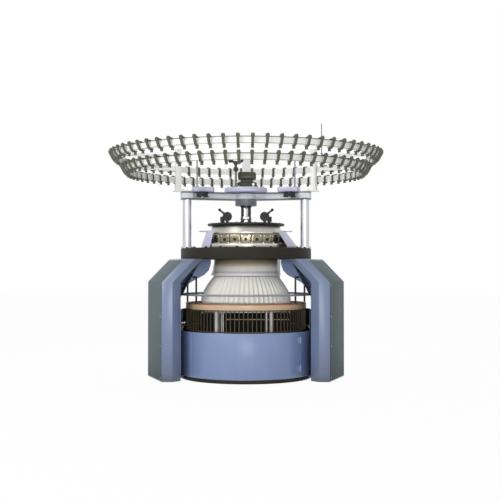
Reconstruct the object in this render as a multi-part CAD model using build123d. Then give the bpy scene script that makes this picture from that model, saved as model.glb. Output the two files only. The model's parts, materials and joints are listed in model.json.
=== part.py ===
from build123d import *
import os
from math import acos, cos, floor, hypot, pi, radians, sin, sqrt, tan

# Single circular knitting machine on three legs, with two rings of yarn feeders overhead.
# Origin: on the machine's axis, at floor level. Front is -Y, up is +Z. Lengths in millimetres.

# Clearances
FIT = 0.05          # radial clearance of a shaft in its bearing
SEAT = 0.3          # gap between a piece and its seat where they don't touch face to face
SWEEP = 6.0         # room around a turning piece

# Legs: three, at these angles about the axis
LEG_ANGLES = {"left": 195.0, "rear": 90.0, "right": 345.0}
# Corners of the left leg's cover in plan: (distance outside the curved sheets, angle about the axis)
COVER_CORNERS = [(109, 215.4), (214, 217.0), (296, 213.4), (325, 181.2), (289, 172.0), (42, 169.2)]
COVER_WALL = 4.0
COVER_BOTTOM = 6.0
COVER_KNEE = 945.0
COVER_LEAN = 215.0
PANEL_THICK = 4.0
PANEL_MARGIN = 12.0
COLUMN_CLEAR = 40.0
COLUMN_DEEP = 180.0
COLUMN_WIDE = 150.0
COLUMN_WALL = 10.0
ARM_TIP = 375.0
FOOT_HIGH = 12.0
FOOT_R = 38.0
FOOT_PLATE = 12.0
TOE_HIGH = 36.0

# Base and front gate
GUARD_R = 650.0
SHEET = 6.0
BASE_HIGH = 36.0
BASE_RIM = 20.0
HUB_R = 90.0
HUB_HIGH = 24.0
PIVOT_R = 40.0
GATE_TOP = 468.0
REAR_SHEET_TOP = 672.0
GATE_HALF = 52.0
GATE_GAP = 0.35
STRIP_END = 75.0
HINGE_OUT = 12.0
HINGE_R = 9.0
HINGE_PIN_R = 4.0
HINGE_HIGH = 60.0
HINGE_LUG = 12.0
HINGE_LEVELS = (120.0, 390.0)

# Guards above the gate
RING_CLEAR = 50.0
RING_THICK = 16.0
RING_LOW = 680.0
RING_TOP = 740.0
HOOP_CLEAR = 2.0
HOOP_THICK = 16.0
HOOP_LOW = 810.0
HOOP_TOP = 830.0
BAR_SIZE = 9.0
PANEL_COUNT = 18
PANEL_BARS = 5
PANEL_GAP = 0.02    # degrees
RAIL_HIGH = 10.0
HANGER_SIZE = 16.0
HANGER_LEVEL = 990.0
HANGER_SPREAD = 21.4

# Bed plate with the main gear in it
BED_R = 650.0
BED_LOW = 1167.0
BED_TOP = 1274.0
BED_FLOOR = 28.0
BED_BORE = 300.0
BED_POCKET_ROOF = 24.0
MODULE = 6.5
MAIN_TEETH = 120
MAIN_GEAR_THICK = 38.0
MOTOR_TEETH = 34
DIAL_TEETH = 18
LAY_TEETH = 26
BACKLASH = 1.2
RACE_THICK = 5.0
RACE_OUT = 340.0
MOTOR_ANGLE = 62.0
DIAL_DRIVE_ANGLE = 90.0
LAY_ANGLE = 132.0
DRIVE_SHAFT_R = 14.0
MOTOR_R = 65.0
MOTOR_LONG = 205.0
MOTOR_FLANGE_R = 72.0
MOTOR_FLANGE = 14.0
NECK_TOP_R = 312.0
NECK_LOW_R = 338.0
NECK_WALL = 8.0
NECK_LOW = 1030.0
NECK_RING_LOW = 1004.0
NECK_RING_OUT = 346.0
NECK_RING_WIDE = 16.0

# Needle cylinder, cams and dial
CYLINDER_R = 280.0
CYLINDER_WALL = 18.0
CYLINDER_TOP = 1418.0
CAM_BASE_WIDE = 150.0
CAM_BASE_TOP = 1320.0
CAM_WIDE = 100.0
CAM_TOP = 1415.0
CAM_COUNT = 22
CAM_GAP = 5.0
CAP_LOW_WIDE = 82.0
CAP_TOP_WIDE = 50.0
CAP_TOP = 1500.0
CAP_WALL = 12.0
PLATE_WIDE = 104.0
PLATE_TOP = 1520.0
DIAL_THICK = 26.0
DIAL_SHAFT_R = 25.0
SLEEVE_R = 45.0
SLEEVE_FLANGE_R = 85.0
SLEEVE_FLANGE = 16.0
COLLAR_R = 62.0
COLLAR_LOW = 1562.0
COLLAR_HIGH = 28.0
SKIRT_TOP = 1440.0
SKIRT_THICK = 6.0
SKIRT_RIGHT_R = 512.0
SKIRT_LEFT_R = 447.0
GUIDE_ROD_R = 7.0
GUIDE_REACH = 492.0

# Fabric clamps on the dial plate
CLAMP_X = 185.0
CLAMP_Y = -130.0
CLAMP_Z = 1590.0
CLAMP_R = 44.0
CLAMP_THICK = 40.0
CLAMP_PIN_R = 8.0
LEVER_LONG = 86.0
LEVER_WIDE = 20.0
LEVER_THICK = 12.0
LEVER_ANGLE = 50.0

# Posts and upper frame
POST_R = 43.0
POST_WALL = 5.0
POST_AT = 600.0
POST_FOOT_R = 62.0
POST_FOOT = 14.0
FRAME_LOW = 1752.0
FRAME_TOP = 1830.0
FRAME_ARM_WIDE = 92.0
FRAME_WEB = 34.0
FRAME_FLANGE = 13.0
FRAME_REACH = 655.0
FRAME_BLOCK = 105.0
FRAME_HUB_R = 108.0
FRAME_HUB_LOW = 1700.0
SHAFT_BOSS_R = 27.0
DECK_R = 215.0
DECK_HIGH = 48.0
TRAY_AT = 440.0
TRAY_LONG = 210.0
TRAY_WIDE = 150.0
PULLEY_R = 62.0
PULLEY_HIGH = 46.0
PULLEY_AT = 470.0
PULLEY_AXLE_R = 12.0
PULLEY_BRACKET = 8.0
CASE_HALF = 100.0
CASE_HIGH = 160.0
CASE_FOOT = 30.0
HANDLE_X = -100.0
HANDLE_Y = -130.0
HANDLE_STEM_R = 11.0
HANDLE_PIN_R = 8.0
HANDLE_HEAD = 16.0
HANDLE_HUB_R = 22.0
HANDLE_HUB_LONG = 26.0
HANDLE_LEVEL = 2112.0
HANDLE_REACH = 58.0
HANDLE_LOBE_R = 17.0

# Feeder rings and what carries them
COLUMN_R_AT = 690.0
RING_COLUMN_WIDE = 90.0
RING_COLUMN_DEEP = 50.0
RING_COLUMN_TOP = 2245.0
RING_FOOT = 12.0
UPPER_R = 1310.0
UPPER_LOW = 2150.0
LOWER_R = 1200.0
LOWER_LOW = 2020.0
BAND_HIGH = 64.0
BAND_THICK = 6.0
ARM_WIDE = 30.0
ARM_HIGH = 26.0
FEEDER_COUNT = 66
FEEDER_WIDE = 44.0
MAST_R = 5.0
MAST_AT = 765.0
MAST_TOP = 2500.0
STAY_R = 7.0
STAY_AT = 500.0
STAY_TOP = 2196.0

# Take-down: it turns with the needle cylinder and draws the fabric down
TURN_LOW = 62.0
TURN_GEAR_THICK = 24.0
TABLE_R = 446.0
TABLE_THICK = 10.0
SIDE_X = 431.0
SIDE_THICK = 12.0
SIDE_DEEP = 180.0
SIDE_FOOT = 40.0
SIDE_TOP = 655.0
ROLLER_R = 32.0
ROLLER_LEVEL = 570.0
JOURNAL_R = 15.0
CLOTH_HALF = 405.0
CLOTH_THICK = 5.0
ROLL_R = 75.0
ROLL_LEVEL = 300.0
GUIDE_RING_R = 440.0
GUIDE_RING_WIDE = 24.0
GUIDE_RING_LOW = 655.0
GUIDE_RING_HIGH = 18.0
GUIDE_POSTS = [(-277, 42), (-225, 26), (195, 20), (240, 30)]
GUIDE_POST_DEEP = 16.0
PLEATS = 58
SPREADER_WIDE = 20.0
SPREADER_HIGH = 14.0
SPREADER_LEVEL = 752.0

# Values that follow
COLUMN_IN = GUARD_R + COLUMN_CLEAR
COLUMN_OUT = COLUMN_IN + COLUMN_DEEP
RING_R = GUARD_R - RING_CLEAR
HANGER_R = RING_R - RING_THICK / 2
HOOP_R = GUARD_R - HOOP_CLEAR
CAM_BASE_R = CYLINDER_R + CAM_BASE_WIDE
CAM_R = CYLINDER_R + CAM_WIDE
CAP_LOW_R = CYLINDER_R + CAP_LOW_WIDE
CAP_TOP_R = CYLINDER_R + CAP_TOP_WIDE
PLATE_R = CYLINDER_R + PLATE_WIDE
CASE_LOW = FRAME_TOP + DECK_HIGH
NIP_LEVEL = ROLLER_LEVEL + ROLLER_R + 12
BED_CAVITY_LOW = BED_LOW + BED_FLOOR
MAIN_GEAR_LOW = BED_CAVITY_LOW + RACE_THICK + SEAT
MAIN_R = MODULE * MAIN_TEETH / 2
ADDENDUM = 0.8 * MODULE
DEDENDUM = 1.1 * MODULE
PRESSURE = radians(20)
TABLE_LOW = TURN_LOW + TURN_GEAR_THICK
TABLE_TOP = TABLE_LOW + TABLE_THICK
CASE_TOP = CASE_LOW + CASE_HIGH
ROLLER_Y = ROLLER_R + CLOTH_THICK / 2 + SEAT
ROLL_Y = ROLL_R + CLOTH_THICK / 2 + SEAT
UP = (Align.CENTER, Align.CENTER, Align.MIN)


def rod(radius, low, high, x=0.0, y=0.0):
    """Upright round bar."""
    return Pos(x, y, low) * Cylinder(radius, high - low, align=UP)


def ring(outer, inner, low, high):
    """Upright ring about the machine's axis."""
    return rod(outer, low, high) - rod(inner, low - 1, high + 1)


def block(x0, x1, y0, y1, low, high):
    """Box between two corners."""
    size = (x1 - x0, y1 - y0, high - low)
    return Pos((x0 + x1) / 2, (y0 + y1) / 2, low) * Box(*size, align=UP)


def turned(points, start=0.0, arc=360.0):
    """Outline in (radius, height), turned about the machine's axis."""
    face = Plane.XZ * make_face(Polyline(*points, close=True))
    return Rot(0, 0, start) * revolve(face, Axis.Z, arc)


def sector(outer, inner, low, high, start, end):
    """Part of an upright ring, from one angle to another."""
    outline = [(inner, low), (outer, low), (outer, high), (inner, high)]
    return turned(outline, start, end - start)


def upright_slab(points, thick, angle):
    """Outline in (radius, height), given a thickness across, at an angle about the axis."""
    face = Plane.XZ * make_face(Polyline(*points, close=True))
    return Rot(0, 0, angle) * extrude(face, thick / 2, both=True)


def plan_face(points, low):
    return Pos(0, 0, low) * make_face(Polyline(*points, close=True))


def prism(points, low, high):
    return extrude(plan_face(points, low), high - low)


def lengthwise(radius, x0, x1, y, z):
    """Round bar along X."""
    return Pos((x0 + x1) / 2, y, z) * Rot(0, 90, 0) * Cylinder(radius, x1 - x0)


def frontwise(radius, y0, y1, x, z):
    """Round bar along Y."""
    return Pos(x, (y0 + y1) / 2, z) * Rot(90, 0, 0) * Cylinder(radius, y1 - y0)


def polar(radius, angle):
    return radius * cos(radians(angle)), radius * sin(radians(angle))


COVER_PLAN = [polar(GUARD_R + out, angle) for out, angle in COVER_CORNERS]


# Gears

def involute(angle):
    return tan(angle) - angle


def gear_outline(teeth, turn, flank_steps):
    """Gear outline with involute flanks; a tooth points along the angle turn (degrees)."""
    pitch_r = MODULE * teeth / 2
    base_r = pitch_r * cos(PRESSURE)
    root_r = pitch_r - DEDENDUM
    half_base = pi / (2 * teeth) - BACKLASH / (4 * pitch_r) + involute(PRESSURE)
    radii = [root_r + (pitch_r + ADDENDUM - root_r) * k / flank_steps for k in range(flank_steps + 1)]
    flank = [(r, half_base - involute(acos(min(1.0, base_r / max(r, base_r))))) for r in radii]
    points = []
    for tooth in range(teeth):
        middle = radians(turn) + 2 * pi * tooth / teeth
        points += [(r * cos(middle - half), r * sin(middle - half)) for r, half in flank]
        points += [(r * cos(middle + half), r * sin(middle + half)) for r, half in reversed(flank)]
    return points


def centre_distance(teeth):
    return MODULE * (MAIN_TEETH + teeth) / 2


def mesh_turn(teeth, angle):
    """Turn of a pinion at this angle so that its gap meets the main gear's tooth there."""
    main_phase = (angle / (360 / MAIN_TEETH)) % 1.0
    return angle + 180 + (main_phase + 0.5) * 360 / teeth


def pinion_shaft(teeth, angle, shaft_low, shaft_top, levels):
    """Shaft with its pinions, each between two heights, in mesh with a main gear."""
    x, y = polar(centre_distance(teeth), angle)
    outline = gear_outline(teeth, mesh_turn(teeth, angle), 4)
    body = rod(DRIVE_SHAFT_R, shaft_low, shaft_top, x, y)
    for low, high in levels:
        body += Pos(x, y, 0) * prism(outline, low, high)
    return body


# Legs

def leg_place(name, shape):
    """The left leg's pieces, moved to another leg."""
    if name == "right":
        return mirror(shape, Plane.YZ)
    return Rot(0, 0, LEG_ANGLES[name] - LEG_ANGLES["left"]) * shape


def inset(points, gap):
    """Plan outline moved inward by a gap (the outline runs anticlockwise or clockwise)."""
    area = sum(a[0] * b[1] - b[0] * a[1] for a, b in zip(points, points[1:] + points[:1]))
    side = 1 if area > 0 else -1
    moved = []
    for before, here, after in zip(points[-1:] + points[:-1], points, points[1:] + points[:1]):
        lines = []
        for a, b in ((before, here), (here, after)):
            long = hypot(b[0] - a[0], b[1] - a[1])
            nx, ny = -side * (b[1] - a[1]) / long, side * (b[0] - a[0]) / long
            lines.append((nx, ny, nx * a[0] + ny * a[1] + gap))
        (a1, b1, c1), (a2, b2, c2) = lines
        det = a1 * b2 - a2 * b1
        moved.append(((c1 * b2 - c2 * b1) / det, (a1 * c2 - a2 * c1) / det))
    return moved


def leaning_column(plan, low, top):
    """Upright prism up to the knee, then leaning towards the axis up to the bed plate."""
    upright = prism(plan, low, COVER_KNEE)
    rise = (top - COVER_KNEE) / (BED_LOW - COVER_KNEE)
    dx, dy = polar(COVER_LEAN * rise, LEG_ANGLES["left"] + 180)
    over = [(x + dx, y + dy) for x, y in plan]
    return upright + loft([plan_face(plan, COVER_KNEE), plan_face(over, top)], ruled=True)


def arm_outline():
    """Outline of the leg column and its arm, in (radius, height)."""
    sweep = [(COLUMN_IN - 50, 845), (COLUMN_IN - 68, 893), (COLUMN_IN - 107, 935), (COLUMN_IN - 170, 972),
             (ARM_TIP + 65, 1012), (ARM_TIP + 20, 1058), (ARM_TIP, 1120)]
    return ([(COLUMN_IN, FOOT_HIGH), (COLUMN_IN, 800)] + sweep
            + [(ARM_TIP, BED_LOW), (COLUMN_OUT - COVER_LEAN, BED_LOW), (COLUMN_OUT, COVER_KNEE - 20),
               (COLUMN_OUT, FOOT_HIGH)])


def leg_column():
    angle = LEG_ANGLES["left"]
    body = upright_slab(arm_outline(), COLUMN_WIDE, angle)
    half = COLUMN_WIDE / 2 - COLUMN_WALL
    hollow = block(COLUMN_IN + COLUMN_WALL, COLUMN_OUT - COLUMN_WALL, -half, half, 0, 780)
    body -= Rot(0, 0, angle) * hollow
    body += prism(inset(COVER_PLAN, COVER_WALL + SEAT), FOOT_HIGH, FOOT_HIGH + FOOT_PLATE)
    across = COLUMN_WIDE / 2
    toe = block(GUARD_R - BASE_RIM / 4, COLUMN_IN + 1, -across, across, FOOT_HIGH, TOE_HIGH)
    toe -= rod(GUARD_R + SEAT, 0, TOE_HIGH + 1)
    return body + Rot(0, 0, angle) * toe


def leg_cover():
    shell = leaning_column(COVER_PLAN, COVER_BOTTOM, BED_LOW)
    inner = leaning_column(inset(COVER_PLAN, COVER_WALL), COVER_BOTTOM - 1, BED_LOW - COVER_WALL)
    shell -= inner
    angle = LEG_ANGLES["left"]
    half = COLUMN_WIDE / 2 + COVER_WALL
    back = COLUMN_OUT - COVER_LEAN + COVER_WALL
    arm_slot = upright_slab([(ARM_TIP - 60, 780), (COLUMN_IN + 40, 780), (COLUMN_IN + 40, COVER_KNEE),
                             (back, BED_LOW + 1), (ARM_TIP - 60, BED_LOW + 1)],
                            2 * half, angle)
    toe_slot = Rot(0, 0, angle) * block(RING_R, COLUMN_IN + 20, -half, half, 0, TOE_HIGH + COVER_WALL)
    return shell - arm_slot - toe_slot


def rear_leg_cover():
    """The rear leg's cover, with a recess for the motor that hangs beside it."""
    x, y = polar(centre_distance(MOTOR_TEETH), MOTOR_ANGLE)
    recess = rod(MOTOR_FLANGE_R + SWEEP, BED_LOW - MOTOR_LONG - SWEEP, BED_LOW + 1, x, y)
    return leg_place("rear", leg_cover()) - recess


def leg_side_panel():
    """Flat panel screwed over the leg cover's outer facet."""
    (x0, y0), (x1, y1) = COVER_PLAN[2], COVER_PLAN[3]
    long = hypot(x1 - x0, y1 - y0)
    ux, uy = (x1 - x0) / long, (y1 - y0) / long
    nx, ny = uy, -ux
    if nx * x0 + ny * y0 < 0:
        nx, ny = -nx, -ny
    a = (x0 + ux * PANEL_MARGIN, y0 + uy * PANEL_MARGIN)
    b = (x1 - ux * PANEL_MARGIN, y1 - uy * PANEL_MARGIN)
    far_b = (b[0] + nx * PANEL_THICK, b[1] + ny * PANEL_THICK)
    far_a = (a[0] + nx * PANEL_THICK, a[1] + ny * PANEL_THICK)
    return leaning_column([a, b, far_b, far_a], COVER_BOTTOM + PANEL_MARGIN, BED_LOW - PANEL_MARGIN)


def levelling_feet():
    """Two screw feet under each leg: a pad on the floor and its stud up into the foot plate."""
    feet = []
    for angle in LEG_ANGLES.values():
        for across in (-1, 1):
            x, y = polar((COLUMN_IN + COLUMN_OUT) / 2 + 50, angle + across * 6.5)
            feet.append(rod(FOOT_R, 0, FOOT_HIGH, x, y))
    return feet


# Base and gate

def base_tray():
    tray = rod(GUARD_R, 0, BASE_HIGH) - rod(GUARD_R - BASE_RIM, -1, BASE_HIGH - 8)
    tray += rod(HUB_R, 0, BASE_HIGH + HUB_HIGH)
    x, y = polar(centre_distance(LAY_TEETH), LAY_ANGLE)
    tray += rod(2 * DRIVE_SHAFT_R, 0, BASE_HIGH + 10, x, y)
    tray -= rod(DRIVE_SHAFT_R + FIT, 12, BASE_HIGH + 20, x, y)
    return tray - rod(PIVOT_R + FIT, 12, BASE_HIGH + HUB_HIGH + 1)


def hinge_axis():
    return polar(GUARD_R + HINGE_OUT, 270 + GATE_HALF + GATE_GAP / 2)


def hinge_web(side, low, high, inside):
    """Leaf between a hinge knuckle and the curved sheet; side -1 is the gate, +1 the strip."""
    web = block(GUARD_R - inside, GUARD_R + HINGE_OUT, min(0, side * 20), max(0, side * 20), low, high)
    return Rot(0, 0, 270 + GATE_HALF + GATE_GAP / 2) * web


def front_gate():
    body = sector(GUARD_R, GUARD_R - SHEET, BASE_HIGH + SEAT, GATE_TOP, 270 - GATE_HALF, 270 + GATE_HALF)
    x, y = hinge_axis()
    for level in HINGE_LEVELS:
        low, high = level - HINGE_HIGH / 2, level + HINGE_HIGH / 2
        body += rod(HINGE_R, low, high, x, y) + hinge_web(-1, low, high, SHEET / 2)
        body -= rod(HINGE_PIN_R + FIT, low - 1, high + 1, x, y)
    return body


def gate_hinges():
    """Hinge pins with their fixed lugs, on the right-hand strip."""
    x, y = hinge_axis()
    hinges = []
    for level in HINGE_LEVELS:
        reach = HINGE_HIGH / 2 + SEAT
        one = rod(HINGE_PIN_R, level - reach - 1, level + reach + 1, x, y)
        for low in (level + reach, level - reach - HINGE_LUG):
            one += rod(HINGE_R, low, low + HINGE_LUG, x, y) + hinge_web(1, low, low + HINGE_LUG, -0.1)
        hinges.append(one)
    return hinges


def fixed_guards():
    """Curved sheets beside the gate, and taller ones from there round to the rear leg."""
    inner = GUARD_R - SHEET
    strip = sector(GUARD_R, inner, BASE_HIGH, GATE_TOP, 270 + GATE_HALF + GATE_GAP, 270 + STRIP_END)
    rear = sector(GUARD_R, inner, BASE_HIGH, REAR_SHEET_TOP, 270 + STRIP_END + GATE_GAP, 450 - GATE_GAP)
    return [strip, rear, mirror(strip, Plane.YZ), mirror(rear, Plane.YZ)]


# Guards

def guard_ring():
    return ring(RING_R, RING_R - RING_THICK, RING_LOW, RING_TOP)


def guard_hoop():
    return ring(HOOP_R, HOOP_R - HOOP_THICK, HOOP_LOW, HOOP_TOP)


def grille_panel(start, end):
    """Curved grille of upright bars between two rails, hung from the guard ring."""
    middle = RING_R - RING_THICK / 2
    outer, inner = middle + BAR_SIZE / 2, middle - BAR_SIZE / 2
    low, top = GATE_TOP + 2, RING_LOW
    rails = [sector(outer, inner, low, low + RAIL_HIGH, start, end),
             sector(outer, inner, top - RAIL_HIGH, top, start, end)]
    step = 360 / (PANEL_COUNT * PANEL_BARS)
    first = (start + end) / 2 - (PANEL_BARS - 1) * step / 2
    bar = block(inner + 1, outer - 1, -BAR_SIZE / 2, BAR_SIZE / 2, low + 1, top - 1)
    bars = [Rot(0, 0, first + k * step) * bar for k in range(PANEL_BARS)]
    return rails[0] + rails[1:] + bars


def grille():
    wide = 360 / PANEL_COUNT
    one = grille_panel(270 + PANEL_GAP, 270 + wide - PANEL_GAP)
    return [Rot(0, 0, k * wide) * one for k in range(PANEL_COUNT)]


def hanger():
    """Bent bar from a leg's arm down to the guard ring, with a clip for the hoop."""
    angle = LEG_ANGLES["left"] + HANGER_SPREAD
    x, y = polar(HANGER_R, HANGER_SPREAD)
    half = HANGER_SIZE / 2
    bar = block(x - half, x + half, y - half, y + half, RING_TOP, HANGER_LEVEL + half)
    bar += block(x - half, x + half, COLUMN_WIDE / 2, y + half, HANGER_LEVEL - half, HANGER_LEVEL + half)
    clip = block(HANGER_R - half, HOOP_R - HOOP_THICK, -half, half, HOOP_LOW, HOOP_TOP)
    clip -= block(HOOP_R - HOOP_THICK - 0.2, HOOP_R, -half, half, HOOP_LOW - 1, HOOP_TOP + 1)
    return Rot(0, 0, angle - HANGER_SPREAD) * bar + Rot(0, 0, angle) * clip


def guard_hangers():
    one = hanger()
    other = mirror(one, Plane(origin=(0, 0, 0), z_dir=(-sin(radians(195)), cos(radians(195)), 0)))
    return [leg_place(name, shape) for name in LEG_ANGLES for shape in (one, other)]


# Bed

def bed_plate():
    body = turned([(BED_BORE, BED_LOW), (BED_R - 4, BED_LOW), (BED_R, BED_LOW + 4), (BED_R, BED_TOP - 8),
                   (BED_R - 8, BED_TOP), (BED_BORE, BED_TOP)])
    body -= rod(MAIN_R + ADDENDUM + SWEEP, BED_CAVITY_LOW, BED_TOP + 1)
    for teeth, angle in ((MOTOR_TEETH, MOTOR_ANGLE), (DIAL_TEETH, DIAL_DRIVE_ANGLE), (LAY_TEETH, LAY_ANGLE)):
        x, y = polar(centre_distance(teeth), angle)
        tip = MODULE * teeth / 2 + ADDENDUM + SWEEP
        body -= rod(tip, BED_CAVITY_LOW, BED_TOP - BED_POCKET_ROOF, x, y)
    dial_x, dial_y = polar(centre_distance(DIAL_TEETH), DIAL_DRIVE_ANGLE)
    body -= rod(DRIVE_SHAFT_R + FIT, BED_LOW + 10, BED_TOP + 1, dial_x, dial_y)
    lay_x, lay_y = polar(centre_distance(LAY_TEETH), LAY_ANGLE)
    body -= rod(DRIVE_SHAFT_R + FIT, BED_LOW - 1, BED_TOP - 8, lay_x, lay_y)
    motor_x, motor_y = polar(centre_distance(MOTOR_TEETH), MOTOR_ANGLE)
    return body - rod(DRIVE_SHAFT_R + FIT, BED_LOW - 1, BED_CAVITY_LOW + 1, motor_x, motor_y)


def main_motor():
    x, y = polar(centre_distance(MOTOR_TEETH), MOTOR_ANGLE)
    body = rod(MOTOR_R, BED_LOW - MOTOR_LONG, BED_LOW - MOTOR_FLANGE, x, y)
    body += rod(MOTOR_FLANGE_R, BED_LOW - MOTOR_FLANGE, BED_LOW, x, y)
    return body - rod(DRIVE_SHAFT_R + FIT, BED_LOW - 60, BED_LOW + 1, x, y)


def neck_skirt():
    return turned([(NECK_TOP_R - NECK_WALL, BED_LOW), (NECK_TOP_R, BED_LOW), (NECK_LOW_R, NECK_LOW),
                   (NECK_LOW_R - NECK_WALL, NECK_LOW)])


def neck_ring():
    outer, inner = NECK_RING_OUT, NECK_RING_OUT - NECK_RING_WIDE
    return turned([(inner, NECK_RING_LOW), (outer - 3, NECK_RING_LOW), (outer, NECK_RING_LOW + 3),
                   (outer, NECK_LOW - 3), (outer - 3, NECK_LOW), (inner, NECK_LOW)])


# Needle cylinder and its gear

def cylinder_gear():
    top = MAIN_GEAR_LOW + MAIN_GEAR_THICK
    body = prism(gear_outline(MAIN_TEETH, 0.0, 2), MAIN_GEAR_LOW, top)
    return body - rod(CYLINDER_R - CYLINDER_WALL, MAIN_GEAR_LOW - 1, top + 1)


def needle_cylinder():
    return ring(CYLINDER_R, CYLINDER_R - CYLINDER_WALL, MAIN_GEAR_LOW + MAIN_GEAR_THICK, CYLINDER_TOP)


# Cams

def cam_base_ring():
    inner = CYLINDER_R + SWEEP
    return turned([(inner, BED_TOP), (CAM_BASE_R, BED_TOP), (CAM_BASE_R, CAM_BASE_TOP - 10),
                   (CAM_BASE_R - 8, CAM_BASE_TOP), (inner, CAM_BASE_TOP)])


def cam_boxes():
    inner = CYLINDER_R + SWEEP
    step = 360 / CAM_COUNT
    trim = CAM_GAP / CAM_R * 90 / pi
    box = turned([(inner, CAM_BASE_TOP), (CAM_R, CAM_BASE_TOP), (CAM_R, CAM_TOP - 14), (CAM_R - 10, CAM_TOP),
                  (inner, CAM_TOP)], trim, step - 2 * trim)
    return [Rot(0, 0, k * step) * box for k in range(CAM_COUNT)]


def dial_cap():
    slope = [(CAP_LOW_R, CAM_TOP), (CAP_LOW_R, CAM_TOP + 12), (CAP_TOP_R + 8, CAP_TOP - 8),
             (CAP_TOP_R, CAP_TOP)]
    inside = [(SLEEVE_R + FIT, CAP_TOP), (SLEEVE_R + FIT, CAP_TOP - CAP_WALL),
              (CAP_TOP_R - CAP_WALL, CAP_TOP - CAP_WALL), (CAP_LOW_R - 3 * CAP_WALL, CAM_TOP)]
    return turned(slope + inside)


def dial_top_plate():
    inner = SLEEVE_R + FIT
    return turned([(inner, CAP_TOP), (PLATE_R - 3, CAP_TOP), (PLATE_R, CAP_TOP + 3), (PLATE_R, PLATE_TOP - 3),
                   (PLATE_R - 3, PLATE_TOP), (inner, PLATE_TOP)])


def centre_sleeve():
    inner = DIAL_SHAFT_R + FIT
    low = CAP_TOP - CAP_WALL
    return turned([(inner, low), (SLEEVE_R, low), (SLEEVE_R, PLATE_TOP), (SLEEVE_FLANGE_R, PLATE_TOP),
                   (SLEEVE_FLANGE_R, PLATE_TOP + SLEEVE_FLANGE), (SLEEVE_R, PLATE_TOP + SLEEVE_FLANGE),
                   (SLEEVE_R, COLLAR_LOW), (COLLAR_R, COLLAR_LOW), (COLLAR_R, COLLAR_LOW + COLLAR_HIGH),
                   (SLEEVE_R, COLLAR_LOW + COLLAR_HIGH), (SLEEVE_R, FRAME_TOP), (inner, FRAME_TOP)])


def dial():
    top = CYLINDER_TOP + 10
    return rod(CYLINDER_R - CYLINDER_WALL - SWEEP, top - DIAL_THICK, top)


def dial_shaft():
    return rod(DIAL_SHAFT_R, CYLINDER_TOP + 10, CASE_LOW + 60)


def guide_skirt(foot_r, start, end):
    """Sloping sheet beside the cams that leads the yarns in."""
    low, top = BED_TOP, SKIRT_TOP
    return turned([(foot_r - SKIRT_THICK, low), (foot_r, low), (foot_r, low + 20), (PLATE_R + 14, top),
                   (PLATE_R + 14 - SKIRT_THICK, top), (foot_r - SKIRT_THICK, low + 20)], start, end - start)


def guide_rod(side):
    """Short rod out of the cams with a yarn eye block on its end."""
    x0, x1 = CAP_LOW_R - 5, GUIDE_REACH
    bar = lengthwise(GUIDE_ROD_R, x0, x1, 0, SKIRT_TOP + GUIDE_ROD_R + SEAT)
    bar += block(x1 - 24, x1, -14, 14, SKIRT_TOP + SEAT, SKIRT_TOP + 24)
    bar -= turned([(0, CAM_TOP), (CAP_LOW_R, CAM_TOP), (CAP_LOW_R, CAM_TOP + 12),
                   (CAP_TOP_R + 8, CAP_TOP - 8), (0, CAP_TOP)])
    return Rot(0, 0, 0 if side > 0 else 180) * bar


# Fabric clamps

def clamp_body(side):
    x = side * CLAMP_X
    y0, y1 = CLAMP_Y, CLAMP_Y + CLAMP_THICK
    body = frontwise(CLAMP_R, y0, y1, x, CLAMP_Z)
    body += block(x - 16, x + 16, y0 + 6, y1 - 6, PLATE_TOP, CLAMP_Z)
    body += block(x - 42, x + 42, y0 - 8, y1 + 8, PLATE_TOP, PLATE_TOP + 10)
    return body - frontwise(CLAMP_PIN_R + FIT, y0 - 1, y0 + 26, x, CLAMP_Z)


def clamp_lever(side):
    x = side * CLAMP_X
    y1 = CLAMP_Y - SEAT
    y0 = y1 - LEVER_THICK
    arm = block(-LEVER_WIDE / 2, LEVER_WIDE / 2, y0, y1, 0, LEVER_LONG)
    arm += frontwise(LEVER_WIDE / 2 + 3, y0, y1, 0, 0)
    arm += frontwise(LEVER_WIDE / 2 + 2, y0 - 8, y1, 0, LEVER_LONG)
    arm += frontwise(CLAMP_PIN_R, y1 - 1, CLAMP_Y + 24, 0, 0)
    return Pos(x, 0, CLAMP_Z) * Rot(0, side * LEVER_ANGLE, 0) * arm


# Posts and upper frame

def post(angle):
    x, y = polar(POST_AT, angle)
    tube = rod(POST_R, BED_TOP, FRAME_LOW, x, y) + rod(POST_FOOT_R, BED_TOP, BED_TOP + POST_FOOT, x, y)
    return tube - rod(POST_R - POST_WALL, BED_TOP - 1, FRAME_LOW + 1, x, y)


def upper_frame():
    """Three I-section arms from a hub, each ending in a block over its post."""
    body = rod(FRAME_HUB_R, FRAME_HUB_LOW, FRAME_TOP)
    half, web = FRAME_ARM_WIDE / 2, FRAME_WEB / 2
    inner = FRAME_REACH - FRAME_BLOCK
    for angle in LEG_ANGLES.values():
        arm = block(0, inner + 1, -web, web, FRAME_LOW, FRAME_TOP)
        arm += block(0, inner + 1, -half, half, FRAME_TOP - FRAME_FLANGE, FRAME_TOP)
        arm += block(0, inner + 1, -half, half, FRAME_LOW, FRAME_LOW + FRAME_FLANGE)
        arm += block(inner, FRAME_REACH, -half - 8, half + 8, FRAME_LOW, FRAME_TOP)
        body += Rot(0, 0, angle) * arm
    for side in (-1, 1):
        body += pulley_bracket(side)
    x, y = polar(centre_distance(DIAL_TEETH), DIAL_DRIVE_ANGLE)
    body += rod(SHAFT_BOSS_R, FRAME_LOW, FRAME_TOP, x, y)
    body -= rod(DRIVE_SHAFT_R + FIT, FRAME_LOW - 1, FRAME_TOP + 1, x, y)
    return body - rod(SLEEVE_R + FIT, FRAME_HUB_LOW - 1, FRAME_TOP + 1)


def deck():
    top = FRAME_TOP + DECK_HIGH
    return rod(DECK_R, FRAME_TOP, top) - rod(SLEEVE_R, FRAME_TOP - 1, top + 1)


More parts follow.
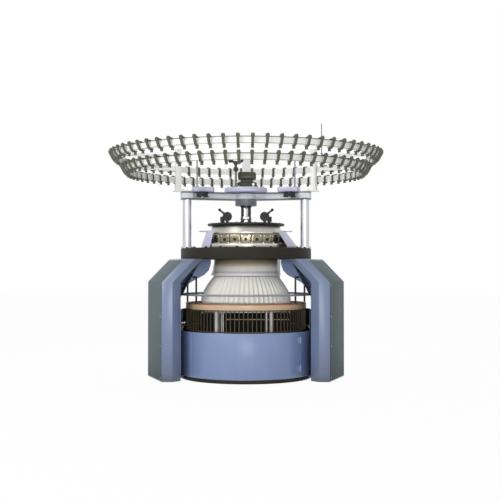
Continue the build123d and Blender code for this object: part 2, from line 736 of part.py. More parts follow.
def arm_tray(name):
    tray = Pos(TRAY_AT, 0, FRAME_TOP) * Box(TRAY_LONG, TRAY_WIDE, DECK_HIGH, align=UP)
    tray = fillet(tray.edges().filter_by(Axis.Z), 30)
    return Rot(0, 0, LEG_ANGLES[name]) * tray


def pulley_place(side):
    """Belt pulley's axis: in front of the arm on that side."""
    angle = radians(LEG_ANGLES["right"])
    across = FRAME_ARM_WIDE / 2 + PULLEY_R + SWEEP
    x = PULLEY_AT * cos(angle) + across * sin(angle)
    y = PULLEY_AT * sin(angle) - across * cos(angle)
    return side * x, y


def pulley_bracket(side):
    """Plate on the arm's upper flange, with the axle that carries the pulley under it."""
    x, y = pulley_place(side)
    name = "right" if side > 0 else "left"
    reach = FRAME_ARM_WIDE / 2 + PULLEY_R + SWEEP + 20
    span = (-reach, -FRAME_ARM_WIDE / 2) if side > 0 else (FRAME_ARM_WIDE / 2, reach)
    low = FRAME_TOP - PULLEY_BRACKET
    plate = Rot(0, 0, LEG_ANGLES[name]) * block(PULLEY_AT - 25, PULLEY_AT + 25, *span, low, FRAME_TOP)
    return plate + rod(PULLEY_AXLE_R, low - PULLEY_HIGH - 8, low + 1, x, y)


def belt_pulley(side):
    x, y = pulley_place(side)
    top = FRAME_TOP - PULLEY_BRACKET - 2
    low = top - PULLEY_HIGH
    body = rod(PULLEY_R, low, top, x, y)
    groove = rod(PULLEY_R + 1, low + 8, top - 8, x, y) - rod(PULLEY_R - 7, low + 7, top - 7, x, y)
    return body - groove - rod(PULLEY_AXLE_R + FIT, low - 1, top + 1, x, y)


def top_gearbox():
    """Case that carries the drive from the upright shaft at the rear to the dial shaft."""
    rear_y = centre_distance(DIAL_TEETH)
    half = CASE_HALF
    body = block(-half + 12, half + 8, -80, 90, CASE_LOW + CASE_FOOT, CASE_TOP)
    body = chamfer(body.edges().group_by(Axis.Z)[-1], 14)
    body += block(-half, half + 20, -95, 105, CASE_LOW, CASE_LOW + CASE_FOOT)
    body += block(-50, 50, 80, rear_y + 60, CASE_LOW, CASE_LOW + 60)
    body -= rod(DIAL_SHAFT_R + FIT, CASE_LOW - 1, CASE_LOW + 70)
    return body - rod(DRIVE_SHAFT_R + FIT, CASE_LOW - 1, CASE_LOW + 40, 0, rear_y)


def upper_mesh():
    return MAIN_GEAR_LOW + 2, MAIN_GEAR_LOW + MAIN_GEAR_THICK - 2


def dial_drive_shaft():
    return pinion_shaft(DIAL_TEETH, DIAL_DRIVE_ANGLE, BED_LOW + 12, CASE_LOW + 38, [upper_mesh()])


def motor_pinion():
    low, high = upper_mesh()
    return pinion_shaft(MOTOR_TEETH, MOTOR_ANGLE, BED_LOW - 58, high, [(low, high)])


def lay_shaft():
    """Upright shaft at the rear that turns the take-down in step with the needle cylinder."""
    lower = (TURN_LOW + 2, TABLE_LOW - 3)
    return pinion_shaft(LAY_TEETH, LAY_ANGLE, 14, BED_TOP - 10, [lower, upper_mesh()])


def handle_stand():
    """Upright stem in front of the gearbox, with a pin to the front for the three-lobed handle."""
    x, y = HANDLE_X, HANDLE_Y
    stem = rod(HANDLE_STEM_R, CASE_LOW, HANDLE_LEVEL, x, y) + rod(26, CASE_LOW, CASE_LOW + 14, x, y)
    stem += frontwise(HANDLE_HEAD, y - HANDLE_HEAD, y + HANDLE_HEAD, x, HANDLE_LEVEL)
    return stem + frontwise(HANDLE_PIN_R, y - HANDLE_HEAD - HANDLE_HUB_LONG, y, x, HANDLE_LEVEL)


def lobed_handle():
    """Hub on the stand's pin with three arms, seen from the front, and a knob on each."""
    back = HANDLE_Y - HANDLE_HEAD - SEAT
    front = back - HANDLE_HUB_LONG
    body = frontwise(HANDLE_HUB_R, front, back, 0, 0)
    for k in range(3):
        arm = block(0, HANDLE_REACH, front + 6, back - 6, -7, 7)
        knob = Pos(HANDLE_REACH, (front + back) / 2, 0) * Sphere(HANDLE_LOBE_R)
        body += Rot(0, 90 - 120 * k, 0) * (arm + knob)
    bore = frontwise(HANDLE_PIN_R + FIT, front - 1, back + 1, 0, 0)
    return Pos(HANDLE_X, 0, HANDLE_LEVEL) * (body - bore)


# Feeder rings

def ring_column(name):
    near = COLUMN_R_AT - RING_COLUMN_DEEP / 2
    far = COLUMN_R_AT + RING_COLUMN_DEEP / 2
    half = RING_COLUMN_WIDE / 2
    body = block(TRAY_AT + TRAY_LONG / 2 + 10, far + 20, -half, half, FRAME_TOP, FRAME_TOP + RING_FOOT)
    body += block(near, far, -half, half, FRAME_TOP, RING_COLUMN_TOP)
    body -= block(near + 5, far - 5, -half + 5, half - 5, FRAME_TOP + RING_FOOT, RING_COLUMN_TOP + 1)
    return Rot(0, 0, LEG_ANGLES[name]) * body


def ring_arm_angle(name):
    """Middle of the gap between two feeders nearest to a leg's angle."""
    step = 360 / FEEDER_COUNT
    return (floor(LEG_ANGLES[name] / step) + 0.5) * step


def ring_arms(name):
    """Two bars from a ring column, out to the upper and the lower feeder ring."""
    skew = radians(abs(ring_arm_angle(name) - LEG_ANGLES[name]))
    start = (COLUMN_R_AT + RING_COLUMN_DEEP / 2 + ARM_WIDE / 2 * sin(skew)) / cos(skew) + FIT
    arms = []
    for reach, low in ((UPPER_R, UPPER_LOW), (LOWER_R, LOWER_LOW)):
        middle = low + BAND_HIGH / 2
        end = reach - BAND_THICK - 0.2
        bar = block(start, end, -ARM_WIDE / 2, ARM_WIDE / 2, middle - ARM_HIGH / 2, middle + ARM_HIGH / 2)
        arms.append(Rot(0, 0, ring_arm_angle(name)) * bar)
    return arms


def feeder_ring(outer, low):
    return ring(outer, outer - BAND_THICK, low, low + BAND_HIGH)


def feeder(outer, low):
    """Yarn feeder, hooked over a ring: it slants from its clutch, outside and above, to its wheel below."""
    top = low + BAND_HIGH
    out, inn, under = outer + 0.1, outer - BAND_THICK - 0.3, low - SEAT
    return [(out, under), (outer - 48, under), (outer - 50, low - 22), (outer - 16, low - 22),
            (outer + 14, low - 8), (outer + 58, top + 2), (outer + 52, top + 20), (outer - 12, top + 12),
            (outer - 12, top - 16), (inn, top - 16), (inn, top), (out, top)]


def feeders(outer, low):
    one = upright_slab(feeder(outer, low), FEEDER_WIDE, 0)
    step = 360 / FEEDER_COUNT
    return [Rot(0, 0, k * step) * one for k in range(FEEDER_COUNT)]


def mast(radius, low, top, x, y):
    return rod(radius, low, top, x, y) + rod(2.4 * radius, low, low + 12, x, y)


def masts():
    """Lamp mast on the right ring arm, and a thin rod on each side tray."""
    arm_top = UPPER_LOW + BAND_HIGH / 2 + ARM_HIGH / 2
    rods = [mast(MAST_R, arm_top, MAST_TOP, *polar(MAST_AT, ring_arm_angle("right")))]
    for name in ("left", "right"):
        rods.append(mast(STAY_R, FRAME_TOP + DECK_HIGH, STAY_TOP, *polar(STAY_AT, LEG_ANGLES[name])))
    return rods


# Take-down

def turntable():
    """Toothed table on a pivot in the base's hub."""
    body = prism(gear_outline(MAIN_TEETH, 0.0, 2), TURN_LOW, TABLE_LOW)
    body += rod(PIVOT_R, 14, TURN_LOW + 1) + rod(HUB_R - 10, BASE_HIGH + HUB_HIGH + SEAT, TURN_LOW + 1)
    return body + rod(TABLE_R, TABLE_LOW, TABLE_TOP)


def side_frame(side):
    """Upright plate that holds the rollers' ends."""
    x = side * SIDE_X
    x0, x1 = x - SIDE_THICK / 2, x + SIDE_THICK / 2
    body = block(x0, x1, -SIDE_DEEP / 2, SIDE_DEEP / 2, TABLE_TOP, SIDE_TOP - 10)
    foot = sorted((x, x - side * SIDE_FOOT))
    body += block(*foot, -SIDE_DEEP / 2, SIDE_DEEP / 2, TABLE_TOP, TABLE_TOP + 10)
    for y, z in ((-ROLLER_Y, ROLLER_LEVEL), (ROLLER_Y, ROLLER_LEVEL)):
        body -= lengthwise(JOURNAL_R + FIT, x0 - 1, x1 + 1, y, z)
    ear = block(x0, x1, ROLL_Y - 40, ROLL_Y + 40, TABLE_TOP, ROLL_LEVEL + 40)
    return body + ear - lengthwise(JOURNAL_R + FIT, x0 - 1, x1 + 1, ROLL_Y, ROLL_LEVEL)


def roller(y, z, radius):
    face = SIDE_X - SIDE_THICK / 2 - SEAT
    end = SIDE_X + SIDE_THICK / 2
    return lengthwise(radius, -face, face, y, z) + lengthwise(JOURNAL_R, -end, end, y, z)


def side_frames():
    """The two side plates, joined by a welded tie bar under the rollers."""
    face = SIDE_X - SIDE_THICK / 2
    bar = lengthwise(14, -face - 1, face + 1, -SIDE_DEEP / 2 + 16, ROLLER_LEVEL - 130)
    return side_frame(-1) + side_frame(1) + bar


def guide_frame():
    """Bright upright posts on the turntable, front and rear, and the ring that they carry."""
    outer = GUIDE_RING_R
    body = ring(outer, outer - GUIDE_RING_WIDE, GUIDE_RING_LOW, GUIDE_RING_LOW + GUIDE_RING_HIGH)
    half = GUIDE_POST_DEEP / 2
    for side in (-1, 1):
        for x, wide in GUIDE_POSTS:
            y = side * sqrt((outer - GUIDE_RING_WIDE / 2) ** 2 - x ** 2)
            body += block(x - wide / 2, x + wide / 2, y - half, y + half, TABLE_TOP, GUIDE_RING_LOW + 2)
    return body


def fabric_section(level, half_x, half_y, fold, wall):
    """Level outline of the fabric tube, with folds that stand out and in by fold."""
    count = 2 * PLEATS
    points = []
    for k in range(count):
        angle = 2 * pi * k / count
        swell = (fold if k % 2 else -fold) - wall
        points.append(((half_x + swell) * cos(angle), (half_y + swell) * sin(angle)))
    return plan_face(points, level)


def fabric_levels():
    """(height, half width, half depth, fold) down the tube."""
    at_needles = CYLINDER_R - CYLINDER_WALL - SEAT
    return [(CYLINDER_TOP - 30, at_needles, at_needles, 0), (BED_LOW, at_needles - 4, at_needles - 4, 0),
            (NECK_RING_LOW + 6, 300, 300, 1.5), (984, 392, 392, 4), (745, 436, 436, 8), (700, 398, 330, 5),
            (NIP_LEVEL, CLOTH_HALF, 9, 0)]


def fabric_tube():
    """Knitted fabric: from the needles down, gathered in folds, flattened, and on to the roll."""
    rising = list(reversed(fabric_levels()))
    outer = loft([fabric_section(*level, 0) for level in rising], ruled=True)
    inner = loft([fabric_section(*level, CLOTH_THICK) for level in rising], ruled=True)
    half = CLOTH_THICK / 2
    web = block(-CLOTH_HALF + 4, CLOTH_HALF - 4, -half, half, ROLL_LEVEL, NIP_LEVEL + 1)
    closed_end = block(-CLOTH_HALF + 12, CLOTH_HALF - 12, -6, 6, NIP_LEVEL, NIP_LEVEL + 3)
    return (outer - inner) + closed_end + web


def fabric_spreader():
    """Hoop inside the fabric that holds it round."""
    low, top = SPREADER_LEVEL, SPREADER_LEVEL + SPREADER_HIGH
    levels = fabric_levels()
    (z1, r1, _, fold1), (z0, r0, _, fold0) = levels[3], levels[4]
    share = (top - z0) / (z1 - z0)
    outer = r0 + (r1 - r0) * share - (fold0 + (fold1 - fold0) * share) - CLOTH_THICK - SEAT
    return ring(outer, outer - SPREADER_WIDE, low, top)


def legs(make):
    """The same piece on all three legs."""
    return [leg_place(name, make()) for name in LEG_ANGLES]


PARTS = {
    "base_tray": base_tray,
    "levelling_feet": levelling_feet,
    "leg_columns": lambda: legs(leg_column),
    "leg_cover_left": lambda: leg_place("left", leg_cover()),
    "leg_cover_right": lambda: leg_place("right", leg_cover()),
    "leg_cover_rear": rear_leg_cover,
    "leg_side_panels": lambda: legs(leg_side_panel),
    "front_gate": front_gate,
    "gate_hinges": gate_hinges,
    "fixed_guards": fixed_guards,
    "guard_ring": guard_ring,
    "guard_hoop": guard_hoop,
    "grille": grille,
    "guard_hangers": guard_hangers,
    "bed_plate": bed_plate,
    "bearing_race": lambda: ring(RACE_OUT, BED_BORE, BED_CAVITY_LOW, BED_CAVITY_LOW + RACE_THICK),
    "main_motor": main_motor,
    "motor_pinion": motor_pinion,
    "neck_skirt": neck_skirt,
    "neck_ring": neck_ring,
    "cylinder_gear": cylinder_gear,
    "needle_cylinder": needle_cylinder,
    "cam_base_ring": cam_base_ring,
    "cam_boxes": cam_boxes,
    "dial_cap": dial_cap,
    "dial_top_plate": dial_top_plate,
    "centre_sleeve": centre_sleeve,
    "dial": dial,
    "dial_shaft": dial_shaft,
    "guide_skirts": lambda: [guide_skirt(SKIRT_RIGHT_R, -38, 38), guide_skirt(SKIRT_LEFT_R, 142, 218)],
    "guide_rods": lambda: [guide_rod(-1), guide_rod(1)],
    "clamp_bodies": lambda: [clamp_body(-1), clamp_body(1)],
    "clamp_lever_left": lambda: clamp_lever(-1),
    "clamp_lever_right": lambda: clamp_lever(1),
    "posts": lambda: [post(angle) for angle in LEG_ANGLES.values()],
    "upper_frame": upper_frame,
    "belt_pulley_left": lambda: belt_pulley(-1),
    "belt_pulley_right": lambda: belt_pulley(1),
    "deck": deck,
    "arm_trays": lambda: [arm_tray("left"), arm_tray("right")],
    "top_gearbox": top_gearbox,
    "dial_drive_shaft": dial_drive_shaft,
    "lay_shaft": lay_shaft,
    "handle_stand": handle_stand,
    "lobed_handle": lobed_handle,
    "ring_columns": lambda: [ring_column(name) for name in LEG_ANGLES],
    "ring_arms": lambda: [arm for name in LEG_ANGLES for arm in ring_arms(name)],
    "feeder_ring_upper": lambda: feeder_ring(UPPER_R, UPPER_LOW),
    "feeder_ring_lower": lambda: feeder_ring(LOWER_R, LOWER_LOW),
    "feeders_upper": lambda: feeders(UPPER_R, UPPER_LOW),
    "feeders_lower": lambda: feeders(LOWER_R, LOWER_LOW),
    "masts": masts,
    "turntable": turntable,
    "side_frames": side_frames,
    "roller_front": lambda: roller(-ROLLER_Y, ROLLER_LEVEL, ROLLER_R),
    "roller_rear": lambda: roller(ROLLER_Y, ROLLER_LEVEL, ROLLER_R),
    "fabric_roll": lambda: roller(ROLL_Y, ROLL_LEVEL, ROLL_R),
    "guide_frame": guide_frame,
    "fabric_tube": fabric_tube,
    "fabric_spreader": fabric_spreader,
}


def write(name, shape):
    solids = shape if isinstance(shape, list) else [shape]
    solids = [solid for piece in solids for solid in piece.solids()]
    export_step(Compound(children=solids) if len(solids) > 1 else solids[0], f"parts/{name}.step")


os.makedirs("parts", exist_ok=True)
for name, make in PARTS.items():
    write(name, make())
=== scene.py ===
# %% [markdown]
# # A circular knitting machine, dressed for its portrait
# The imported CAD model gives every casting, shaft and guard its size and place. This lesson keeps
# that frame as it is, gives each surface its finish, and models by hand what a machinist would
# call the fittings: screws, knobs, fins, feeder wheels, and the soft knitted tube in the middle.

import json
import math

import bmesh
import bpy
from mathutils import Matrix, Vector


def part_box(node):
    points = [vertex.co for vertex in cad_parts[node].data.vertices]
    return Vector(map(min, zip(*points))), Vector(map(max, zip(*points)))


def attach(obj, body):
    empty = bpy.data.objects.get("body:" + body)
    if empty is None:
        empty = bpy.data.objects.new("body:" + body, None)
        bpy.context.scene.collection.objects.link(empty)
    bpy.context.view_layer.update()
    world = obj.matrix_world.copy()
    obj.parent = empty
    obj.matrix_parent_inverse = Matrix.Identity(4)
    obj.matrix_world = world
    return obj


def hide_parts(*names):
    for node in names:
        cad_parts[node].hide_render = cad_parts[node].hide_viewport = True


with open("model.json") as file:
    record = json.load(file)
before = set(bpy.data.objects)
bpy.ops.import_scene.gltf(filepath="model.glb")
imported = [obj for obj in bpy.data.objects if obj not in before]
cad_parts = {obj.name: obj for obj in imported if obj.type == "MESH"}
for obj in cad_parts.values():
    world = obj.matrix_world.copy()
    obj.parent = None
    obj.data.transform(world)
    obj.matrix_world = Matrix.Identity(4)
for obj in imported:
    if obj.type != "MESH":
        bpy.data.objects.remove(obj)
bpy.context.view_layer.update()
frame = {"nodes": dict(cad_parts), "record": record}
nodes = frame["nodes"]

# %% [markdown]
# ## Camera
# The photograph was taken from about nine metres, at the height of a person's waist, with the lens
# tilted up by a little over one degree. A long lens keeps the legs nearly upright. The camera comes
# first, so that every later choice is judged from the same place.

# %% Place the camera
FRAME_PIXELS = 500
FOCAL_PIXELS = 910.0
SENSOR_MM = 36.0
EYE = Vector((0.04, -9.1, 1.06))
TILT_UP = math.radians(1.26)

camera_data = bpy.data.cameras.new("view_camera")
camera_data.sensor_width = SENSOR_MM
camera_data.lens = FOCAL_PIXELS / FRAME_PIXELS * SENSOR_MM
camera = bpy.data.objects.new("view_camera", camera_data)
camera.location = EYE
camera.rotation_euler = (math.radians(90) + TILT_UP, 0, 0)
bpy.context.scene.collection.objects.link(camera)
bpy.context.scene.camera = camera
bpy.context.scene.view_settings.view_transform = "Standard"
print("lens", round(camera_data.lens, 1), "mm")

# %% [markdown]
# ## Light and background
# A catalogue picture has soft light from all round and a background that is simply white. Four
# wide area lamps give the soft light. The world and the floor show white only to the camera and in
# reflections, so the background never adds light to the machine, and the floor keeps its shadow.

# %% Light the studio
WORLD_LIGHT = 0.5
BACKGROUND_WHITE = 1.0
FLOOR_GLOW = 0.96


def math_node(tree, operation, a, b):
    node = tree.nodes.new("ShaderNodeMath")
    node.operation = operation
    for slot, value in enumerate((a, b)):
        if isinstance(value, (int, float)):
            node.inputs[slot].default_value = value
        else:
            tree.links.new(value, node.inputs[slot])
    return node.outputs[0]


def seen_or_mirrored(tree):
    """1 for camera, glossy and transmission rays, and 0 for the rest."""
    path = tree.nodes.new("ShaderNodeLightPath")
    total = path.outputs["Is Camera Ray"]
    for ray in ("Is Glossy Ray", "Is Transmission Ray"):
        total = math_node(tree, "MAXIMUM", total, path.outputs[ray])
    return total


def new_material(name):
    """A material with nodes, its tree and its Principled shader."""
    material = bpy.data.materials.new(name)
    material.use_nodes = True
    return material, material.node_tree, material.node_tree.nodes["Principled BSDF"]


def coloured(tree, kind, colour):
    node = tree.nodes.new(kind)
    node.inputs["Color"].default_value = colour
    return node


def show_mix(tree, share, first, second, output):
    """Mix two shaders and send the result to the tree's output node."""
    mix = tree.nodes.new("ShaderNodeMixShader")
    for slot, value in enumerate((share, first.outputs[0], second.outputs[0])):
        tree.links.new(value, mix.inputs[slot])
    tree.links.new(mix.outputs[0], tree.nodes[output].inputs["Surface"])


world = bpy.data.worlds.new("studio")
bpy.context.scene.world = world
world.use_nodes = True
tree = world.node_tree
plain = tree.nodes["Background"]
plain.inputs["Color"].default_value = (0.95, 0.97, 1.0, 1)
plain.inputs["Strength"].default_value = WORLD_LIGHT
white = coloured(tree, "ShaderNodeBackground", (1, 1, 1, 1))
white.inputs["Strength"].default_value = BACKGROUND_WHITE
show_mix(tree, seen_or_mirrored(tree), plain, white, "World Output")

AIM = Vector((0, 0, 1.2))
# name: place and size in metres, power in watts
LAMPS = {
    "key_left": ((-4.5, -6.0, 4.6), (3.0, 3.0), 230),
    "fill_right": ((5.0, -5.0, 2.6), (3.0, 3.5), 14),
    "fill_front": ((0.3, -9.6, 1.1), (3.5, 2.5), 190),
    "back_top": ((0.5, 4.5, 5.0), (4.0, 2.0), 110),
}
for name, (place, size, power) in LAMPS.items():
    data = bpy.data.lights.new(name, "AREA")
    data.shape = "RECTANGLE"
    data.size, data.size_y = size
    data.energy = power
    lamp = bpy.data.objects.new(name, data)
    lamp.location = place
    lamp.rotation_euler = (AIM - Vector(place)).to_track_quat("-Z", "Y").to_euler()
    bpy.context.scene.collection.objects.link(lamp)

bpy.ops.mesh.primitive_plane_add(size=60, location=(0, 0, -0.001))
floor = bpy.context.object
floor.name = "studio_floor"
floor_paint, tree, default_shader = new_material("studio_floor")
tree.nodes.remove(default_shader)
matt = coloured(tree, "ShaderNodeBsdfDiffuse", (0.86, 0.86, 0.86, 1))
glow = coloured(tree, "ShaderNodeEmission", (1, 1, 1, 1))
share = math_node(tree, "MULTIPLY", seen_or_mirrored(tree), FLOOR_GLOW)
show_mix(tree, share, matt, glow, "Material Output")
floor.data.materials.append(floor_paint)

# %% [markdown]
# ## Shared shader effects
# Paint, castings and worked steel all vary a little: orange peel in the paint, grain in the steel. Each
# effect is one node group with named sockets, built once and placed in many materials with different values.

# %% Shader groups
COLOUR, VALUE = "NodeSocketColor", "NodeSocketFloat"


def new_group(name, inputs):
    """A group with these inputs, and a colour, a roughness and a height as outputs."""
    group = bpy.data.node_groups.new(name, "ShaderNodeTree")
    for label, kind, default in inputs:
        socket = group.interface.new_socket(name=label, in_out="INPUT", socket_type=kind)
        socket.default_value = default
    for label, kind in (("Colour", COLOUR), ("Roughness", VALUE), ("Height", VALUE)):
        group.interface.new_socket(name=label, in_out="OUTPUT", socket_type=kind)
    return group, group.nodes.new("NodeGroupInput").outputs, group.nodes.new("NodeGroupOutput").inputs


def object_point(tree, scale=(1, 1, 1)):
    """Object coordinates, stretched by scale on each axis."""
    place = tree.nodes.new("ShaderNodeTexCoord")
    mapping = tree.nodes.new("ShaderNodeMapping")
    mapping.inputs["Scale"].default_value = scale
    tree.links.new(place.outputs["Object"], mapping.inputs["Vector"])
    return mapping.outputs[0]


def noise(tree, vector, scale, detail=3.0):
    node = tree.nodes.new("ShaderNodeTexNoise")
    node.inputs["Scale"].default_value = scale
    node.inputs["Detail"].default_value = detail
    tree.links.new(vector, node.inputs["Vector"])
    return node.outputs["Fac"]


def tint(tree, colour, dark, factor):
    """Colour, multiplied towards dark where factor is high."""
    node = tree.nodes.new("ShaderNodeMix")
    node.data_type = "RGBA"
    node.blend_type = "MULTIPLY"
    tree.links.new(factor, node.inputs[0])
    tree.links.new(colour, node.inputs[6])
    tree.links.new(dark, node.inputs[7])
    return node.outputs[2]


def build_coat_group():
    """Sprayed paint or a casting's skin: cloudy colour, uneven gloss and a fine bump."""
    group, given, result = new_group(
        "coat_skin",
        [("Colour", COLOUR, (0.5, 0.5, 0.5, 1)), ("Grime", COLOUR, (0.6, 0.58, 0.54, 1)),
         ("Cloud", VALUE, 0.25), ("Roughness", VALUE, 0.4), ("Uneven", VALUE, 0.12),
         ("Peel Scale", VALUE, 220.0)])
    point = object_point(group)
    cloud = noise(group, point, 3.5, 5.0)
    streak = noise(group, object_point(group, (14, 14, 1.6)), 1.0, 4.0)
    both = math_node(group, "MULTIPLY", cloud, streak)
    amount = math_node(group, "MULTIPLY", math_node(group, "MULTIPLY", both, 2.2), given["Cloud"])
    dirty = tint(group, given["Colour"], given["Grime"], amount)
    group.links.new(dirty, result["Colour"])
    spread = math_node(group, "MULTIPLY", math_node(group, "SUBTRACT", cloud, 0.5), given["Uneven"])
    group.links.new(math_node(group, "ADD", given["Roughness"], spread), result["Roughness"])
    peel = group.nodes.new("ShaderNodeTexNoise")
    group.links.new(point, peel.inputs["Vector"])
    group.links.new(given["Peel Scale"], peel.inputs["Scale"])
    group.links.new(peel.outputs["Fac"], result["Height"])
    return group


def build_grain_group():
    """Turned or ground steel: lines along the cut, slightly darker and rougher in patches."""
    group, given, result = new_group(
        "steel_grain",
        [("Colour", COLOUR, (0.6, 0.6, 0.6, 1)), ("Stain", COLOUR, (0.45, 0.4, 0.33, 1)),
         ("Age", VALUE, 0.3), ("Roughness", VALUE, 0.25), ("Line Depth", VALUE, 0.12)])
    lines = noise(group, object_point(group, (4, 4, 900)), 1.0, 2.0)
    patch = noise(group, object_point(group), 9.0, 4.0)
    amount = math_node(group, "MULTIPLY", patch, given["Age"])
    stained = tint(group, given["Colour"], given["Stain"], amount)
    group.links.new(stained, result["Colour"])
    depth = given["Line Depth"]
    spread = math_node(group, "MULTIPLY", math_node(group, "SUBTRACT", lines, 0.4), depth)
    wear = math_node(group, "MULTIPLY", patch, 0.1)
    rough = math_node(group, "ADD", math_node(group, "ADD", given["Roughness"], spread), wear)
    group.links.new(rough, result["Roughness"])
    group.links.new(lines, result["Height"])
    return group


coat_group = build_coat_group()
grain_group = build_grain_group()
print("shader groups:", [g.name for g in bpy.data.node_groups])

# %% [markdown]
# ## Finishes
# Each finish is a material with its own Principled shader, fed by one of the groups. Numbers that
# are the same all over, such as the metal value or the coat, are set on the shader itself.

# %% Material makers


def linear(rgb):
    """Screen colour, 0 to 255, as the linear colour that a shader reads."""
    shares = (v / 255 for v in rgb)
    return tuple(v / 12.92 if v <= 0.04045 else ((v + 0.055) / 1.055) ** 2.4 for v in shares) + (1,)


def add_bump(tree, height, shader, strength, distance):
    relief = tree.nodes.new("ShaderNodeBump")
    relief.inputs["Strength"].default_value = strength
    relief.inputs["Distance"].default_value = distance
    tree.links.new(height, relief.inputs["Height"])
    tree.links.new(relief.outputs["Normal"], shader.inputs["Normal"])


def start_material(name, group, values, bump, distance):
    material, tree, shader = new_material(name)
    skin = tree.nodes.new("ShaderNodeGroup")
    skin.node_tree = group
    for label, value in values.items():
        skin.inputs[label].default_value = value
    tree.links.new(skin.outputs["Colour"], shader.inputs["Base Color"])
    tree.links.new(skin.outputs["Roughness"], shader.inputs["Roughness"])
    add_bump(tree, skin.outputs["Height"], shader, bump, distance)
    return material, shader


def painted(name, rgb, rough=0.42, cloud=0.3, bump=0.12, coat=0.25, gloss=0.5):
    values = {"Colour": linear(rgb), "Grime": (0.62, 0.6, 0.56, 1), "Cloud": cloud, "Roughness": rough}
    material, shader = start_material(name, coat_group, values, bump, 0.0006)
    shader.inputs["Coat Weight"].default_value = coat
    shader.inputs["Coat Roughness"].default_value = 0.2
    shader.inputs["Specular IOR Level"].default_value = gloss
    return material


def steel(name, rgb, rough=0.28, age=0.35, stain=(0.5, 0.45, 0.36, 1), bump=0.1):
    values = {"Colour": linear(rgb), "Stain": stain, "Age": age, "Roughness": rough}
    material, shader = start_material(name, grain_group, values, bump, 0.0004)
    shader.inputs["Metallic"].default_value = 1.0
    return material


def by_height(name, stops, rough=0.42, coat=0.25, gloss=0.5):
    """Paint whose colour depends on height: stops are (height in metres, screen colour), low to high."""
    material = painted(name, stops[0][1], rough=rough, coat=coat, gloss=gloss)
    tree = material.node_tree
    skin = next(node for node in tree.nodes if node.type == "GROUP")
    split = tree.nodes.new("ShaderNodeSeparateXYZ")
    tree.links.new(object_point(tree), split.inputs[0])
    low, high = stops[0][0], stops[-1][0]
    share = math_node(tree, "DIVIDE", math_node(tree, "SUBTRACT", split.outputs["Z"], low), high - low)
    ramp = tree.nodes.new("ShaderNodeValToRGB")
    tree.links.new(share, ramp.inputs["Fac"])
    marks = ramp.color_ramp.elements
    while len(marks) < len(stops):
        marks.new(0.5)
    for mark, (height, rgb) in zip(marks, stops):
        mark.position = (height - low) / (high - low)
    for mark, (height, rgb) in zip(marks, stops):
        mark.color = linear(rgb)
    tree.links.new(ramp.outputs["Color"], skin.inputs["Colour"])
    return material


PAINTS = {
    "blue_paint": dict(rgb=(126, 144, 184)),
    "black_cast": dict(rgb=(40, 36, 27), rough=0.55, cloud=0.5, bump=0.35, coat=0.0, gloss=0.2),
    "dark_steel": dict(rgb=(42, 45, 43), rough=0.5, cloud=0.4, coat=0.05, gloss=0.25),
    "hinge_blue": dict(rgb=(104, 120, 160), rough=0.5),
    "tan_paint": dict(rgb=(206, 174, 136), rough=0.45),
    "grey_metal": dict(rgb=(136, 140, 146), rough=0.36),
    "lavender_paint": dict(rgb=(205, 205, 230), rough=0.4),
    "stand_grey": dict(rgb=(104, 108, 102), rough=0.4),
    "knob_brown": dict(rgb=(46, 38, 36), rough=0.32, coat=0.3, gloss=0.35),
    "neck_grey": dict(rgb=(240, 238, 242), rough=0.4),
    "white_paint": dict(rgb=(240, 240, 238), rough=0.4),
    "aluminium_band": dict(rgb=(250, 249, 245), rough=0.35, cloud=0.1),
    "band_edge": dict(rgb=(104, 104, 98)),
    "band_edge_pale": dict(rgb=(176, 176, 172)),
    "olive_paint": dict(rgb=(62, 64, 48), rough=0.45, cloud=0.4, gloss=0.3),
    "feeder_grey": dict(rgb=(94, 94, 80), rough=0.45, cloud=0.4, bump=0.08, coat=0.1, gloss=0.3),
    "grille_brown": dict(rgb=(76, 68, 52), rough=0.55, cloud=0.4, coat=0.0, gloss=0.25),
    # A near-black finish that is painted shade, for the shaded inside of the machine.
    "inside_paint": dict(rgb=(30, 30, 28), rough=0.7, coat=0.0, gloss=0.1),
    "roller_rubber": dict(rgb=(46, 41, 37), rough=0.7, coat=0.0, bump=0.3, gloss=0.2),
}
STEELS = {
    "bright_steel": dict(rgb=(205, 203, 198)),
    "cam_steel": dict(rgb=(150, 143, 122), rough=0.2, age=0.6),
    "chrome": dict(rgb=(226, 226, 230), rough=0.1, age=0.12, bump=0.03),
    "post_steel": dict(rgb=(204, 206, 210), rough=0.24, age=0.2, bump=0.05),
}
# The legs darken towards the floor. On the neck, painted shade darkens it to brown towards the bed, and a
# near-white band below is a painted highlight. The guard and the frame are striped.
HEIGHT_PAINTS = {
    "leg_blue": dict(rough=0.36, stops=[
        (0.0, (84, 93, 108)), (0.08, (104, 117, 142)), (0.3, (114, 128, 160)), (0.8, (118, 133, 165)),
        (1.0, (116, 132, 160)), (1.17, (108, 122, 142))]),
    "grey_paint": dict(rough=0.6, coat=0.0, gloss=0.15, stops=[
        (0.0, (69, 78, 82)), (0.15, (88, 99, 102)), (0.6, (97, 111, 113)), (1.17, (101, 115, 121))]),
    "guard_bands": dict(stops=[
        (0.68, (206, 176, 138)), (0.7275, (206, 176, 138)), (0.7285, (146, 88, 72)),
        (0.7435, (146, 88, 72)), (0.7445, (222, 206, 178)), (0.78, (222, 206, 178))]),
    "frame_bands": dict(stops=[
        (1.74, (104, 108, 116)), (1.7665, (104, 108, 116)), (1.7675, (222, 226, 233)),
        (1.8155, (222, 226, 233)), (1.8165, (104, 108, 116)), (1.84, (104, 108, 116))]),
    # Painted light on the neck: the near-white band from 1.056 to 1.085 m is a painted highlight, and the
    # brown from 1.12 m up is painted shade of the bed plate.
    "neck_fade": dict(stops=[
        (1.0, (240, 238, 242)), (1.026, (240, 238, 242)), (1.032, (206, 204, 212)),
        (1.044, (222, 217, 212)), (1.056, (255, 254, 250)), (1.085, (255, 250, 236)),
        (1.12, (178, 165, 140)), (1.17, (66, 58, 42))]),
}
FINISH = {}
for make, table in ((painted, PAINTS), (steel, STEELS), (by_height, HEIGHT_PAINTS)):
    FINISH.update({name: make(name, **values) for name, values in table.items()})
